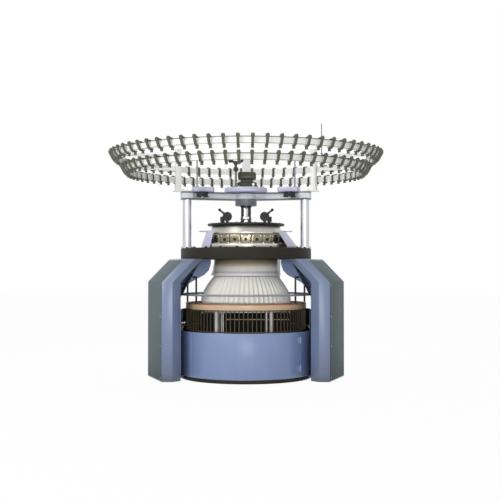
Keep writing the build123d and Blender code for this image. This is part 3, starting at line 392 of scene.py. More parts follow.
SPECIAL = {
    "cam_boxes": "cam_steel", "dial_cap": "bright_steel", "posts": "post_steel", "grille": "grille_brown",
    "guide_frame": "white_paint", "gate_hinges": "hinge_blue", "guard_ring": "guard_bands",
    "neck_skirt": "neck_fade", "handle_stand": "stand_grey",
    "upper_frame": "frame_bands", "neck_ring": "neck_grey", "guide_skirts": "lavender_paint",
    "leg_cover_left": "leg_blue", "leg_cover_right": "leg_blue", "leg_cover_rear": "leg_blue",
}
slots = {entry["node"]: entry["material_slot"] for entry in frame["record"]["subparts"]}


def paint(obj, finish):
    obj.data.materials.clear()
    obj.data.materials.append(FINISH[finish])
    return obj


for name, node in nodes.items():
    finish = SPECIAL.get(name, slots[name])
    paint(node, finish if finish in FINISH else "white_paint")
print("finishes:", len(FINISH))

# %% [markdown]
# ## Working by hand
# New pieces start from a primitive at its real size and place, and are then shaped in edit mode.
# Every operator acts on what is selected, so a few small helpers keep the selection honest: one
# leaves only a single object selected, one picks faces by a test on their centre and normal, and
# one settles a finished piece at the origin, gives it a finish and tells it which body it rides on.

# %% Hand tools
body_of = {node: body for body, names in frame["record"]["behaviour"]["bodies"].items() for node in names}


def solo(obj):
    bpy.ops.object.select_all(action="DESELECT")
    obj.select_set(True)
    bpy.context.view_layer.objects.active = obj


def place_now(obj):
    """Apply the object's place to its mesh, so that its own coordinates are the machine's."""
    solo(obj)
    bpy.ops.object.transform_apply(location=True, rotation=True, scale=True)
    return obj


def edit(obj):
    """Edit mode with nothing selected."""
    solo(obj)
    bpy.ops.object.mode_set(mode="EDIT")
    bpy.ops.mesh.select_mode(type="FACE")
    bpy.ops.mesh.select_all(action="DESELECT")


def pick(obj, test):
    """Edit mode with exactly the faces selected whose centre and normal pass the test."""
    edit(obj)
    mesh = bmesh.from_edit_mesh(obj.data)
    for face in mesh.faces:
        face.select_set(test(face.calc_center_median(), face.normal))
    bmesh.update_edit_mesh(obj.data)


def done():
    bpy.ops.object.mode_set(mode="OBJECT")


# turns that lay a cylinder's axis along X or Y
ALONG_X = (0, math.radians(90), 0)
ALONG_Y = (math.radians(90), 0, 0)


def started(name, size=(1, 1, 1)):
    """Name and stretch the primitive that was just added, and apply its place."""
    bpy.context.object.name = name
    bpy.context.object.scale = size
    return place_now(bpy.context.object)


def cylinder(name, radius, depth, place, sides=24, turn=(0, 0, 0)):
    bpy.ops.object.select_all(action="DESELECT")
    bpy.ops.mesh.primitive_cylinder_add(
        vertices=sides, radius=radius, depth=depth, location=place, rotation=turn)
    return started(name)


def box(name, size, place, turn=(0, 0, 0)):
    bpy.ops.object.select_all(action="DESELECT")
    bpy.ops.mesh.primitive_cube_add(size=1, location=place, rotation=turn)
    return started(name, size)


def ball(name, radius, place, size=(1, 1, 1), segments=24, rings=14):
    bpy.ops.object.select_all(action="DESELECT")
    bpy.ops.mesh.primitive_uv_sphere_add(
        segments=segments, ring_count=rings, radius=radius, location=place)
    return started(name, size)


def draw_out(move):
    """Extrude the selection by a move."""
    bpy.ops.mesh.extrude_region_move(TRANSFORM_OT_translate={"value": move})


def push_out(depth):
    """Extrude the selected faces along their normals, or inward where depth is negative."""
    bpy.ops.mesh.extrude_region_shrink_fatten(TRANSFORM_OT_shrink_fatten={"value": depth})


def step_face(obj, test, thick, push):
    """Inset the picked faces and push them along their normals, as a turned shoulder or a boss."""
    pick(obj, test)
    bpy.ops.mesh.inset(thickness=thick)
    if push:
        push_out(push)
    done()


def slice_through(obj, points, normal):
    """Cut the whole mesh by a plane through each point."""
    edit(obj)
    for point in points:
        bpy.ops.mesh.select_all(action="SELECT")
        bpy.ops.mesh.bisect(plane_co=point, plane_no=normal)
    done()


def narrow_middle(drum, middle, tall, levels, depth):
    """Cut the side of an upright drum in three and push its middle part in, as a groove."""
    slice_through(drum, [Vector(middle) + Vector((0, 0, level * tall)) for level in levels], (0, 0, 1))
    pick(drum, lambda c, n: abs(n.z) < 0.1 and abs(c.z - middle[2]) < 0.1 * tall)
    push_out(-depth)
    done()


def tapered_bar(name, size, place, edge):
    """A flat bar that is narrower at its upper end."""
    bar = box(name, size, place)
    pick(bar, lambda c, n: n.z > 0.9)
    bpy.ops.transform.resize(value=(0.62, 0.8, 1))
    done()
    round_edges(bar, edge)
    return bar


def round_edges(obj, width, segments=2, angle=35):
    solo(obj)
    bevel = obj.modifiers.new("edges", "BEVEL")
    bevel.width = width
    bevel.segments = segments
    bevel.limit_method = "ANGLE"
    bevel.angle_limit = math.radians(angle)
    bpy.ops.object.modifier_apply(modifier=bevel.name)


def flat_ring(name, outer, inner, low, high, sides=96):
    """A ring of square section: a cylinder whose two ends are inset and bridged through."""
    ring = cylinder(name, outer, high - low, (0, 0, (low + high) / 2), sides)
    step_face(ring, lambda c, n: abs(n.z) > 0.9, outer - inner, 0)
    pick(ring, lambda c, n: abs(n.z) > 0.9 and math.hypot(c.x, c.y) < inner / 2)
    bpy.ops.mesh.bridge_edge_loops()
    done()
    return ring


def copy_of(obj, move=Matrix.Identity(4)):
    """A copy with its own mesh, its vertices moved by a matrix."""
    twin = obj.copy()
    twin.data = obj.data.copy()
    twin.data.transform(move)
    bpy.context.scene.collection.objects.link(twin)
    return twin


def all_round(name, piece, count, start=0.0):
    """Copies of a piece at equal steps about the axis, joined to it."""
    turns = [about_axis(start + 360 / count * k) for k in range(count)]
    copies = [copy_of(piece, turn) for turn in turns[1:]]
    piece.data.transform(turns[0])
    return joined(name, [piece] + copies)


def joined(name, pieces):
    solo(pieces[0])
    for piece in pieces[1:]:
        piece.select_set(True)
    bpy.ops.object.join()
    pieces[0].name = name
    return pieces[0]


def settle(obj, body, finish=None, smooth=35):
    """Put the object's origin at the machine's, smooth it, give it a finish and a body."""
    place_now(obj)
    bpy.ops.object.shade_smooth_by_angle(angle=math.radians(smooth))
    if finish:
        paint(obj, finish)
    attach(obj, body)


def about_axis(degrees):
    return Matrix.Rotation(math.radians(degrees), 4, "Z")


def outward_and_across(degrees):
    """Level directions at an angle about the axis: away from it, and at right angles to that."""
    return about_axis(degrees) @ Vector((1, 0, 0)), about_axis(degrees) @ Vector((0, 1, 0))


def on_line(point, middle):
    """Whether a point lies on the upright line through middle."""
    return math.hypot(point.x - middle.x, point.y - middle.y) < 0.001


def middle_of(low, high):
    return (Vector(low) + Vector(high)) / 2


def report(label, obj):
    print(label, "faces:", len(obj.data.polygons))


print("bodies:", len(set(body_of.values())))

# %% [markdown]
# ## Softened castings and folded sheet
# On the real machine no edge is knife sharp: castings have radii, sheet is folded over a bend. The
# CAD solids keep crisp edges, so each large one gets a copy whose doubles are merged, whose flat
# faces are made whole again, and whose edges are rounded by a bevel that skips the curved walls.
# The copy stands for the node. The bevel takes a little off each outer edge, and fills each inner corner a
# little.

# %% Round the edges of the large nodes
SOFT_EDGES = {
    "leg_cover_left": 0.006, "leg_cover_right": 0.006, "leg_cover_rear": 0.005,
    "leg_side_panels": 0.0012, "leg_columns": 0.004, "front_gate": 0.002, "fixed_guards": 0.002,
    "guard_ring": 0.004, "guard_hoop": 0.003, "base_tray": 0.004, "bed_plate": 0.003,
    "cam_base_ring": 0.002, "cam_boxes": 0.002, "upper_frame": 0.003, "deck": 0.006,
    "arm_trays": 0.005, "ring_columns": 0.004, "guard_hangers": 0.002, "guide_skirts": 0.0015,
    "centre_sleeve": 0.002, "guide_frame": 0.0015, "side_frames": 0.002, "levelling_feet": 0.002,
}


def merged_copy(node):
    twin = copy_of(nodes[node])
    twin.parent = None
    twin.name = node + "_finished"
    solo(twin)
    bpy.ops.object.mode_set(mode="EDIT")
    bpy.ops.mesh.select_all(action="SELECT")
    bpy.ops.mesh.remove_doubles(threshold=0.00002)
    bpy.ops.mesh.dissolve_limited(angle_limit=math.radians(0.4))
    done()
    return twin


for node, width in SOFT_EDGES.items():
    soft = merged_copy(node)
    round_edges(soft, width)
    settle(soft, body_of[node])
    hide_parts(node)
    report(node, soft)

# %% [markdown]
# ## Room for the pivot
# The turntable's pivot turns in the tray's bore with a twentieth of a millimetre of play. After a quarter
# turn the two meshes touch, so the finished tray's bore is opened a little.

# %% Open the tray's bore
PIVOT_BORE = 0.04005
BORE_EDGE = 0.0045
BORE_PLAY = 0.0003
for point in bpy.data.objects["base_tray_finished"].data.vertices:
    radius = math.hypot(point.co.x, point.co.y)
    if radius < PIVOT_BORE + BORE_EDGE:
        point.co.xy *= (radius + BORE_PLAY) / radius
print("bore opened by", BORE_PLAY * 1000, "mm")

# %% [markdown]
# ## Yarn feeders
# Each feeder hooks over a ring. Its clutch stands outside and above, a flat body slants down past
# the ring, and a yarn wheel with two rims hangs below, on the inside. One feeder is modelled from a
# handful of primitives and copied round the axis. There are 66 on a ring, so one has few faces.

# %% Model one feeder
FEEDERS_ON_RING = 66
CLUTCH_R = 0.0175
CLUTCH_LEAN = Vector((-0.009, 0, 0.018))
WHEEL_R, WHEEL_HIGH = 0.0165, 0.028
BEAD_HALF = 0.004


def yarn_wheel(place, radius, high):
    """A drum with two rims and a hollow in each end."""
    wheel = cylinder("wheel", radius, high, place, 12)
    step_face(wheel, lambda c, n: abs(n.z) > 0.9, radius * 0.3, -0.0015)
    narrow_middle(wheel, place, high, (0.36, -0.36), radius * 0.22)
    return wheel


def slanted_body(outer, low, top):
    """Flat bar from the clutch, outside and above, to the wheel: a cube drawn out in two steps."""
    bar = box("body", (0.02, 0.026, 0.012), (outer + 0.044, 0, top + 0.006))
    pick(bar, lambda c, n: n.z < -0.9)
    draw_out((-0.036, 0, low - top - 0.004))
    bpy.ops.transform.resize(value=(0.9, 0.85, 1))
    draw_out((-0.016, 0, -0.012))
    done()
    round_edges(bar, 0.002, 1)
    return bar


def one_feeder(outer, low, top):
    foot = box("foot", (0.05, 0.024, 0.007), (outer - 0.016, 0, low - 0.0045))
    hook = box("hook", (0.056, 0.022, 0.008), (outer + 0.016, 0, top + 0.0045))
    pick(hook, lambda c, n: n.x < -0.9)
    draw_out((-0.007, 0, -0.012))
    draw_out((0, 0, low - top + 0.002))
    done()
    turn = CLUTCH_LEAN.to_track_quat("Z", "Y").to_euler()
    middle = (outer + 0.0375, 0, top + 0.003)
    clutch = cylinder("clutch", CLUTCH_R, CLUTCH_LEAN.length, middle, 12, turn)
    step_face(clutch, lambda c, n: n.dot(CLUTCH_LEAN.normalized()) > 0.9, 0.006, 0.004)
    wheel = yarn_wheel((outer - 0.026, 0, low - 0.021), WHEEL_R, WHEEL_HIGH)
    feeder = joined("feeder", [slanted_body(outer, low, top), foot, hook, clutch, wheel])
    return paint(feeder, "feeder_grey")


for node, band in (("feeders_upper", "feeder_ring_upper"), ("feeders_lower", "feeder_ring_lower")):
    ring_low, ring_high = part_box(band)
    outer, low, top = ring_high[0], ring_low[2], ring_high[2]
    feeders = all_round(node + "_finished", one_feeder(outer, low, top), FEEDERS_ON_RING)
    settle(feeders, body_of[node])
    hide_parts(node)
    print(node, "faces in one:", len(feeders.data.polygons) // FEEDERS_ON_RING)
    # Painted shade and light on the band's edges: both beads are the same rolled edge, the upper painted a
    # dark grey and the lower a paler grey.
    for edge, level, finish in (("top", top - BEAD_HALF, "band_edge"),
                                ("low", low + BEAD_HALF, "band_edge_pale")):
        bead = flat_ring(
            band + "_" + edge, outer + 0.0025, outer - 0.0005, level - BEAD_HALF, level + BEAD_HALF)
        round_edges(bead, 0.001, 1)
        settle(bead, "frame", finish)

# %% [markdown]
# ## Fittings on the cam drum
# The cams sit in 22 boxes round the needles. Every box is held by two socket screws and has a dial
# that sets its stitch cam. A screw is a short cylinder whose top is inset and pushed in, and a dial
# is a cylinder with a raised middle and a hollow in it, so both catch the light as worked metal.

# %% Screws and stitch dials
CAM_BOX_COUNT = 22
cam_low, cam_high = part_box("cam_boxes")
CAM_R = cam_high[1]


def socket_screw(name, radius, high, place, out):
    """Screw head that points along out, with a hollow in its top."""
    facing = Vector(out).normalized()
    turn = facing.to_track_quat("Z", "Y").to_euler()
    head = cylinder(name, radius, high, Vector(place) + facing * high / 2, 12, turn)
    step_face(head, lambda c, n: n.dot(facing) > 0.9, radius * 0.45, -high * 0.5)
    return head


def corner_screws(radius, high, middle, out, first, second):
    """Four screws about a middle point, at both ends of two moves."""
    return [socket_screw("screw", radius, high, Vector(middle) + Vector(first) * a + Vector(second) * b, out)
            for a in (-1, 1) for b in (-1, 1)]


def stitch_dial(place):
    dial = cylinder("dial", 0.015, 0.01, place, 20, ALONG_X)
    step_face(dial, lambda c, n: n.x > 0.9, 0.003, 0.004)
    step_face(dial, lambda c, n: n.x > 0.9 and (c - Vector(place)).yz.length < 0.001, 0.004, -0.002)
    return dial


middle_z = (cam_low[2] + cam_high[2]) / 2
fittings = []
for across in (-0.036, 0.036):
    screw = socket_screw("screw", 0.0065, 0.005, (CAM_R - 0.002, across, middle_z + 0.022), (1, 0, 0))
    fittings.append(paint(screw, "chrome"))
fittings.append(paint(stitch_dial((CAM_R + 0.002, 0, middle_z - 0.012)), "dark_steel"))
one_box = joined("cam_fitting", fittings)
cam_fittings = all_round("cam_fittings", one_box, CAM_BOX_COUNT, 180 / CAM_BOX_COUNT)
settle(cam_fittings, "frame")
report("cam fittings", cam_fittings)


# %% Bolt circles
def hexagon_bolt(place, radius=0.008, high=0.01):
    """A washer and a bevelled head, standing at place."""
    x, y, z = place
    washer = cylinder("washer", radius * 1.5, high * 0.2, (x, y, z + high * 0.1), 16)
    head = cylinder("head", radius, high * 0.8, (x, y, z + high * 0.6), 6)
    round_edges(head, radius * 0.12, 1)
    return joined("bolt", [washer, head])


def bolt_circle(name, count, circle, level, radius, high, finish, start=0.0):
    """Bolts on a level face of the frame, on a circle about the axis."""
    bolt = hexagon_bolt((circle, 0, level), radius, high)
    settle(all_round(name, bolt, count, start), "frame", finish)


plate_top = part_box("dial_top_plate")[1][2]
base_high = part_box("cam_base_ring")[1]
bed_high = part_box("bed_plate")[1]
bolt_circle("dial_plate_bolts", 12, 0.35, plate_top, 0.009, 0.009, "bright_steel", 15)
bolt_circle("cam_base_bolts", 22, base_high[0] - 0.024, base_high[2], 0.007, 0.008, "chrome")
bolt_circle("bed_bolts", 24, bed_high[0] - 0.03, bed_high[2], 0.011, 0.012, "dark_steel", 7.5)
print("bolts placed")

# %% [markdown]
# ## The dark inside
# Behind the grille the machine is nearly black, and this is painted shade: the faces of the rear sheets that
# point to the axis get a near-black finish of their own, which stands for the shade inside. A pale rail,
# where the sheet was once spliced, runs round inside and catches the light.

# %% Paint the inner faces and add the splice rail
guards = bpy.data.objects["fixed_guards_finished"]
# Painted shade: the faces that point to the axis take the near-black inside finish.
guards.data.materials.append(FINISH["inside_paint"])
for face in guards.data.polygons:
    if face.normal.x * face.center.x + face.normal.y * face.center.y < -0.1:
        face.material_index = 1

RAIL_LOW, RAIL_HIGH = 0.494, 0.506
RAIL_FRONT = -0.16
SHEET_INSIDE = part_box("fixed_guards")[1][0] - 0.006
rail = flat_ring("splice_rail", SHEET_INSIDE, SHEET_INSIDE - 0.008, RAIL_LOW, RAIL_HIGH)
edit(rail)
bpy.ops.mesh.select_all(action="SELECT")
bpy.ops.mesh.bisect(
    plane_co=(0, RAIL_FRONT, 0), plane_no=(0, 1, 0), clear_inner=True, use_fill=True)
done()
settle(rail, "frame", "tan_paint")
report("splice rail", rail)

# %% [markdown]
# ## The knitted tube
# The fabric leaves the needles as a smooth tube, falls through the neck, and is spread by a hoop into
# some sixty soft pleats before two rollers draw it flat. It could be simulated, but a tube under
# steady pull has a regular shape that a formula gives better: an open cylinder is extruded down
# level by level, and each ring of points is scaled, and pushed in and out where the pleats are.

# %% Shape the tube
PLEATS = 58
POINTS_AROUND = PLEATS * 8
CREST_SHARE = 0.35
# height, half width, half depth, depth of the pleats, all in metres
TUBE_LEVELS = [(1.388, 0.2605, 0.2605, 0.0), (1.167, 0.256, 0.256, 0.0), (1.01, 0.298, 0.298, 0.0015),
               (0.993, 0.322, 0.322, 0.004), (0.93, 0.366, 0.366, 0.0075), (0.86, 0.406, 0.406, 0.01),
               (0.8, 0.429, 0.429, 0.011), (0.745, 0.433, 0.433, 0.0115), (0.7, 0.396, 0.328, 0.0075),
               (0.614, 0.4045, 0.0045, 0.0), (0.596, 0.4045, 0.0021, 0.0), (0.302, 0.4045, 0.0021, 0.0)]
STEPS_BETWEEN = [4, 4, 4, 4, 4, 4, 4, 4, 10, 2, 4]


def tube_profile():
    """The levels with straight, evenly divided steps between them."""
    rows = []
    for (upper, lower), count in zip(zip(TUBE_LEVELS, TUBE_LEVELS[1:]), STEPS_BETWEEN):
        for k in range(count):
            share = k / count
            rows.append([a + (b - a) * share for a, b in zip(upper, lower)])
    return rows + [list(TUBE_LEVELS[-1])]


def pleat(angle):
    """From -1 in a valley to 1 on a crest, with rounder crests than valleys."""
    return 1 - 2 * abs(math.sin(PLEATS * angle / 2)) ** 1.3


bpy.ops.object.select_all(action="DESELECT")
bpy.ops.mesh.primitive_circle_add(vertices=POINTS_AROUND, radius=1, location=(0, 0, 0))
tube = bpy.context.object
tube.name = "knitted_tube"
rows = tube_profile()
bpy.ops.object.mode_set(mode="EDIT")
bpy.ops.mesh.select_mode(type="EDGE")
bpy.ops.mesh.select_all(action="SELECT")
for k in range(1, len(rows)):
    draw_out((0, 0, -1))
done()
for point in tube.data.vertices:
    level, wide, deep, fold = rows[round(-point.co.z)]
    angle = math.atan2(point.co.y, point.co.x)
    swell = fold * (pleat(angle) + CREST_SHARE)
    point.co = Vector(((wide + swell) * math.cos(angle), (deep + swell) * math.sin(angle), level))
edit(tube)
bpy.ops.mesh.select_all(action="SELECT")
bpy.ops.mesh.normals_make_consistent(inside=False)
done()


def knit_material():
    """Off-white yarn: fine rows of loops as a bump, and a soft sheen on the fibres."""
    material, tree, shader = new_material("knit_fabric")
    shader.inputs["Base Color"].default_value = linear((240, 238, 230))
    shader.inputs["Roughness"].default_value = 0.85
    shader.inputs["Sheen Weight"].default_value = 0.25
    shader.inputs["Sheen Roughness"].default_value = 0.5
    rows_of_loops = tree.nodes.new("ShaderNodeTexWave")
    rows_of_loops.bands_direction = "Z"
    rows_of_loops.inputs["Scale"].default_value = 160.0
    rows_of_loops.inputs["Distortion"].default_value = 1.5
    tree.links.new(object_point(tree), rows_of_loops.inputs["Vector"])
    add_bump(tree, rows_of_loops.outputs["Fac"], shader, 0.25, 0.0005)
    return material


FINISH["knit_fabric"] = knit_material()
settle(tube, "takedown", "knit_fabric", 60)
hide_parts("fabric_tube")
area = sum(face.area for face in tube.data.polygons)
print("tube faces:", len(tube.data.polygons), "area:", round(area, 2), "square metres")

# %% [markdown]
# ## Take-down shade sheet and tie rods
# A near-black sheet in front of the draw rollers is painted shade: it stands for the shade inside the
# take-down. A thin tan strip stiffens it. Higher up, four dark tie rods run beside the bright sleeve from
# its flange to the frame's hub.

# %% Shade sheet, strip and rods
frames_low, frames_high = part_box("side_frames")
SHADE_SHEET_LOW = 0.44
SHADE_SHEET_THICK = 0.002
shade_sheet_high = frames_high[2] - 0.012
shade_sheet = box("roller_shade_sheet", (frames_high[0] - frames_low[0], SHADE_SHEET_THICK, shade_sheet_high - SHADE_SHEET_LOW),
             (0, frames_low[1] - SHADE_SHEET_THICK / 2, (SHADE_SHEET_LOW + shade_sheet_high) / 2))
step_face(shade_sheet, lambda c, n: n.y < -0.9, 0.012, -0.0012)
# Painted shade: the sheet takes the near-black inside finish.
settle(shade_sheet, "takedown", "inside_paint")

strip = box("shade_sheet_strip", (0.62, 0.006, 0.009), (0.118, frames_low[1] - SHADE_SHEET_THICK - 0.003, 0.571))
round_edges(strip, 0.002)
settle(strip, "takedown", "tan_paint")

flange_top = plate_top + 0.016
hub_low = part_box("upper_frame")[0][2]
ROD_R = 0.011
ROD_CIRCLE = 0.054
NUT_HALF = 0.006
rod_middle = (hub_low + flange_top) / 2
rod = cylinder("tie_rod", ROD_R, hub_low - flange_top, (ROD_CIRCLE, 0, rod_middle), 16)
nuts = [cylinder("nut", 0.017, 2 * NUT_HALF, (ROD_CIRCLE, 0, z), 6)
        for z in (flange_top + NUT_HALF, hub_low - NUT_HALF)]
settle(all_round("tie_rods", joined("tie_rod", [rod] + nuts), 4, 45), "frame", "dark_steel")
print("shield and rods placed")

# %% [markdown]
# ## Clamps with their levers
# Two round clamps stand on the dial plate. Each is a knurled disc: every other face of the rim is
# pushed in a little, and the front face steps in and then out again. The lever is a bar that tapers
# to a ball end.

# %% Model the clamps
CLAMP_R, CLAMP_THICK = 0.044, 0.04
LEVER_ACROSS, LEVER_LEVEL = 0.185, 1.59
LEVER_THICK = 0.012
LEVER_LEAN = 50


def knurl(obj, axis, depth):
    """Push every other face of the rim inward."""
    edit(obj)
    mesh = bmesh.from_edit_mesh(obj.data)
    rim = [face for face in mesh.faces if abs(face.normal.dot(axis)) < 0.1]
    for face in rim[::2]:
        face.select_set(True)
    bmesh.update_edit_mesh(obj.data)
    bpy.ops.mesh.inset(thickness=0.0004, depth=-depth, use_individual=True)
    done()


def clamp(side):
    low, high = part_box("clamp_bodies")
    x = side * (high[0] - CLAMP_R)
    z = high[2] - CLAMP_R
    front = low[1] + 0.008
    middle = front + CLAMP_THICK / 2
    disc = cylinder("disc", CLAMP_R - 0.001, CLAMP_THICK, (x, middle, z), 48, ALONG_Y)
    knurl(disc, Vector((0, 1, 0)), 0.0012)
    step_face(disc, lambda c, n: n.y < -0.9, 0.007, -0.003)
    step_face(disc, lambda c, n: n.y < -0.9 and c.y > front + 0.002, 0.010, 0.002)
    foot = box("foot", (0.084, 0.056, 0.01), (x, middle, low[2] + 0.005))
    round_edges(foot, 0.002)
    rise, half_way = z - low[2], (z + low[2]) / 2
    neck = box("neck", (0.03, CLAMP_THICK - 0.012, rise - 0.03), (x, middle, half_way - 0.01))
    arm = box("arm", (0.024, 0.024, rise - 0.005), (x + side * 0.058, middle + 0.004, half_way))
    pick(arm, lambda c, n: n.x * side < -0.9)
    draw_out((-side * 0.02, 0, 0.012))
    done()
    round_edges(arm, 0.002)
    foot_middle = (x, middle, low[2] + 0.01)
    screws = corner_screws(0.005, 0.004, foot_middle, (0, 0, 1), (0.033, 0, 0), (0, 0.02, 0))
    return joined("clamp", [disc, neck, arm, foot] + screws)


clamps = joined("clamps_finished", [clamp(-1), clamp(1)])
settle(clamps, "frame", "dark_steel")
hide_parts("clamp_bodies")


def lever(node, body):
    """Lever from the pivot outward: a tapered bar, a boss and a ball end, at the CAD's own angle."""
    side = -1 if node.endswith("left") else 1
    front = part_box(node)[0][1] + 0.008
    pivot = Vector((side * LEVER_ACROSS, front + LEVER_THICK / 2, LEVER_LEVEL))
    bar = tapered_bar("bar", (0.026, LEVER_THICK - 0.002, 0.088), (0, 0, 0.049), 0.0025)
    boss = cylinder("boss", 0.013, LEVER_THICK, (0, 0, 0), 24, ALONG_Y)
    step_face(boss, lambda c, n: n.y < -0.9, 0.004, 0.002)
    tip = ball("tip", 0.0145, (0, -0.002, 0.098), segments=20, rings=12)
    pick(tip, lambda c, n: n.z < -0.85)
    bpy.ops.transform.translate(value=(0, 0, -0.004))
    done()
    whole = joined(node + "_finished", [bar, boss, tip])
    turn = Matrix.Rotation(math.radians(side * LEVER_LEAN), 4, "Y")
    whole.data.transform(Matrix.Translation(pivot) @ turn)
    settle(whole, body, "dark_steel")
    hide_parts(node)
    return whole


for side in ("left", "right"):
    node = "clamp_lever_" + side
    report(node, lever(node, body_of[node]))

# %% [markdown]
# ## Three-lobed handle
# The handle that lifts the dial is a hub with three arms, each ending in a round knob. One arm is
# modelled, tapered by scaling its outer face, and copied by thirds of a turn about the hub's axis,
# which points to the front.

# %% Model the handle
HUB = Vector((-0.1, middle_of(*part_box("lobed_handle")).y, 2.112))
ARM_REACH = 0.058

arm = tapered_bar("arm", (0.03, 0.018, 0.04), (0, 0, 0.03), 0.003)
knob = ball("knob", 0.026, (0, 0, ARM_REACH), (1, 0.6, 1))
limb = joined("limb", [arm, knob])
limbs = [limb] + [copy_of(limb, Matrix.Rotation(math.radians(120 * k), 4, "Y")) for k in (1, 2)]
hub = cylinder("hub", 0.0225, 0.026, (0, 0, 0), 32, ALONG_Y)
step_face(hub, lambda c, n: n.y < -0.9, 0.006, 0.003)
step_face(hub, lambda c, n: n.y < -0.9 and c.y < -0.0145, 0.005, -0.002)
handle = joined("lobed_handle_finished", [hub] + limbs)
handle.data.transform(Matrix.Translation(HUB) @ Matrix.Rotation(math.radians(180), 4, "Y"))
settle(handle, "handle", "knob_brown", 40)
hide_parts("lobed_handle")
report("handle", handle)

# %% [markdown]
# ## Gearbox on top
# The case is one casting that swells and draws in: a flange, a lower housing, a waist and an upper
# housing. It is drawn out of a flat box, face by face. Then come the details that a fitter would
# look for: a cover plate held by screws, a ringed oil glass and a breather.

# %% Model the gearbox
case_low, case_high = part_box("top_gearbox")
COVER = Vector((0.012, -0.074, 2.0))
# rise, and the scale in width and depth, of each step from the flange upward
CASE_STEPS = [(0.034, 1, 1), (0.01, 0.62, 0.86), (0.02, 1, 1), (0.01, 1.5, 1.16), (0.05, 1, 1),
              (0.02, 0.86, 0.86)]


def draw_up(steps):
    """Extrude the picked top face by height and scale, step after step."""
    for rise, wide, deep in steps:
        draw_out((0, 0, rise))
        bpy.ops.transform.resize(value=(wide, deep, 1))


case = box("case", (0.22, 0.2, 0.016), (0.01, 0.005, case_low[2] + 0.008))
pick(case, lambda c, n: n.z > 0.9)
bpy.ops.mesh.inset(thickness=0.013)
draw_up(CASE_STEPS)
done()
round_edges(case, 0.006)
rear_arm = box("rear_arm", (0.1, 0.42, 0.044), (0, 0.298, case_low[2] + 0.022))
step_face(rear_arm, lambda c, n: n.z > 0.9, 0.008, 0.014)
round_edges(rear_arm, 0.005)
cover = box("cover", (0.116, 0.006, 0.046), COVER - Vector((0, 0.003, 0)))
round_edges(cover, 0.002)
details = [case, rear_arm, cover]
details += corner_screws(
    0.0045, 0.004, COVER - Vector((0, 0.006, 0)), (0, -1, 0), (0.049, 0, 0), (0, 0, 0.016))
breather = cylinder("breather", 0.011, 0.02, (0.06, 0.03, case_high[2] + 0.008), 6)
step_face(breather, lambda c, n: n.z > 0.9, 0.004, 0.005)
flange_middle = (0.01, 0.005, case_low[2] + 0.016)
details += corner_screws(0.0058, 0.007, flange_middle, (0, 0, 1), (0.098, 0, 0), (0, 0.088, 0))
details = [paint(part, "olive_paint") for part in details + [breather]]
glass = cylinder("oil_glass", 0.0125, 0.008, (0.074, -0.086, 1.91), 24, ALONG_Y)
step_face(glass, lambda c, n: n.y < -0.9, 0.003, -0.004)
gearbox = joined("top_gearbox_finished", details + [paint(glass, "bright_steel")])
settle(gearbox, "frame")
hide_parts("top_gearbox")
report("gearbox", gearbox)

# %% [markdown]
# ## Belt pulleys
# The tape that drives the feeders runs over a grooved pulley under each side arm. The groove is cut
# by slicing the rim in three and drawing its middle in, and the face has a turned hollow.


# %% Model the pulleys
def grooved_pulley(node):
    low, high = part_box(node)
    middle = middle_of(low, high)
    radius, tall = (high[0] - low[0]) / 2, high[2] - low[2]
    pulley = cylinder(node + "_finished", radius, tall, middle, 48)
    narrow_middle(pulley, middle, tall, (-0.33, 0.33), 0.007)
    for thick, push in ((0.01, -0.008), (0.03, 0.006)):
        step_face(pulley, lambda c, n: abs(n.z) > 0.9 and on_line(c, middle), thick, push)
    round_edges(pulley, 0.0012)
    settle(pulley, body_of[node], "dark_steel")
    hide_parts(node)
    return pulley


for side in ("left", "right"):
    report(side + " pulley", grooved_pulley("belt_pulley_" + side))

# %% [markdown]
# ## Motor
# The motor hangs under the bed at the rear. Its cast housing has cooling fins all round: one fin is
# made as a thin tapered bar and copied. A terminal box sits on the side that faces the axis.

# %% Model the motor
motor_low, motor_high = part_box("main_motor")
MOTOR_AT = middle_of(motor_low, motor_high)
FIN_COUNT = 36
FLANGE_R = (motor_high[0] - motor_low[0]) / 2
CORE_R = FLANGE_R - 0.016
core = cylinder("core", CORE_R, 0.19, (MOTOR_AT.x, MOTOR_AT.y, motor_low[2] + 0.095), 48)
step_face(core, lambda c, n: n.z < -0.9, 0.006, 0.004)
step_face(core, lambda c, n: n.z < -0.9 and on_line(c, MOTOR_AT), 0.03, -0.006)
fin = box("fin", (0.014, 0.0024, 0.13), (CORE_R + 0.005, 0, motor_low[2] + 0.1))
pick(fin, lambda c, n: n.x > 0.9)
bpy.ops.transform.resize(value=(1, 0.5, 0.96))
done()
to_motor = Matrix.Translation((MOTOR_AT.x, MOTOR_AT.y, 0))
fins = [copy_of(fin, to_motor @ about_axis(360 / FIN_COUNT * k)) for k in range(FIN_COUNT)]
bpy.data.objects.remove(fin)
flange = cylinder("flange", FLANGE_R, 0.014, (MOTOR_AT.x, MOTOR_AT.y, motor_high[2] - 0.007), 48)
round_edges(flange, 0.002)
inward = -Vector((MOTOR_AT.x, MOTOR_AT.y, 0)).normalized()
turn = math.atan2(inward.y, inward.x)
terminals = box("terminals", (0.03, 0.07, 0.06), MOTOR_AT + inward * (CORE_R + 0.012), (0, 0, turn))
step_face(terminals, lambda c, n: n.dot(inward) > 0.9, 0.004, 0.004)
round_edges(terminals, 0.002)
motor = joined("main_motor_finished", [core, flange, terminals] + fins)
settle(motor, "frame", "grey_metal")
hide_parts("main_motor")
report("motor", motor)

# %% [markdown]
# ## The roll of fabric
# The flattened tube is wound on a bar, turn on turn. From the side the roll is slightly uneven, and
# its ends show the turns as fine steps. A cylinder is cut into short lengths and its rings of points
# are swelled a little, then each end is inset again and again, in and out.

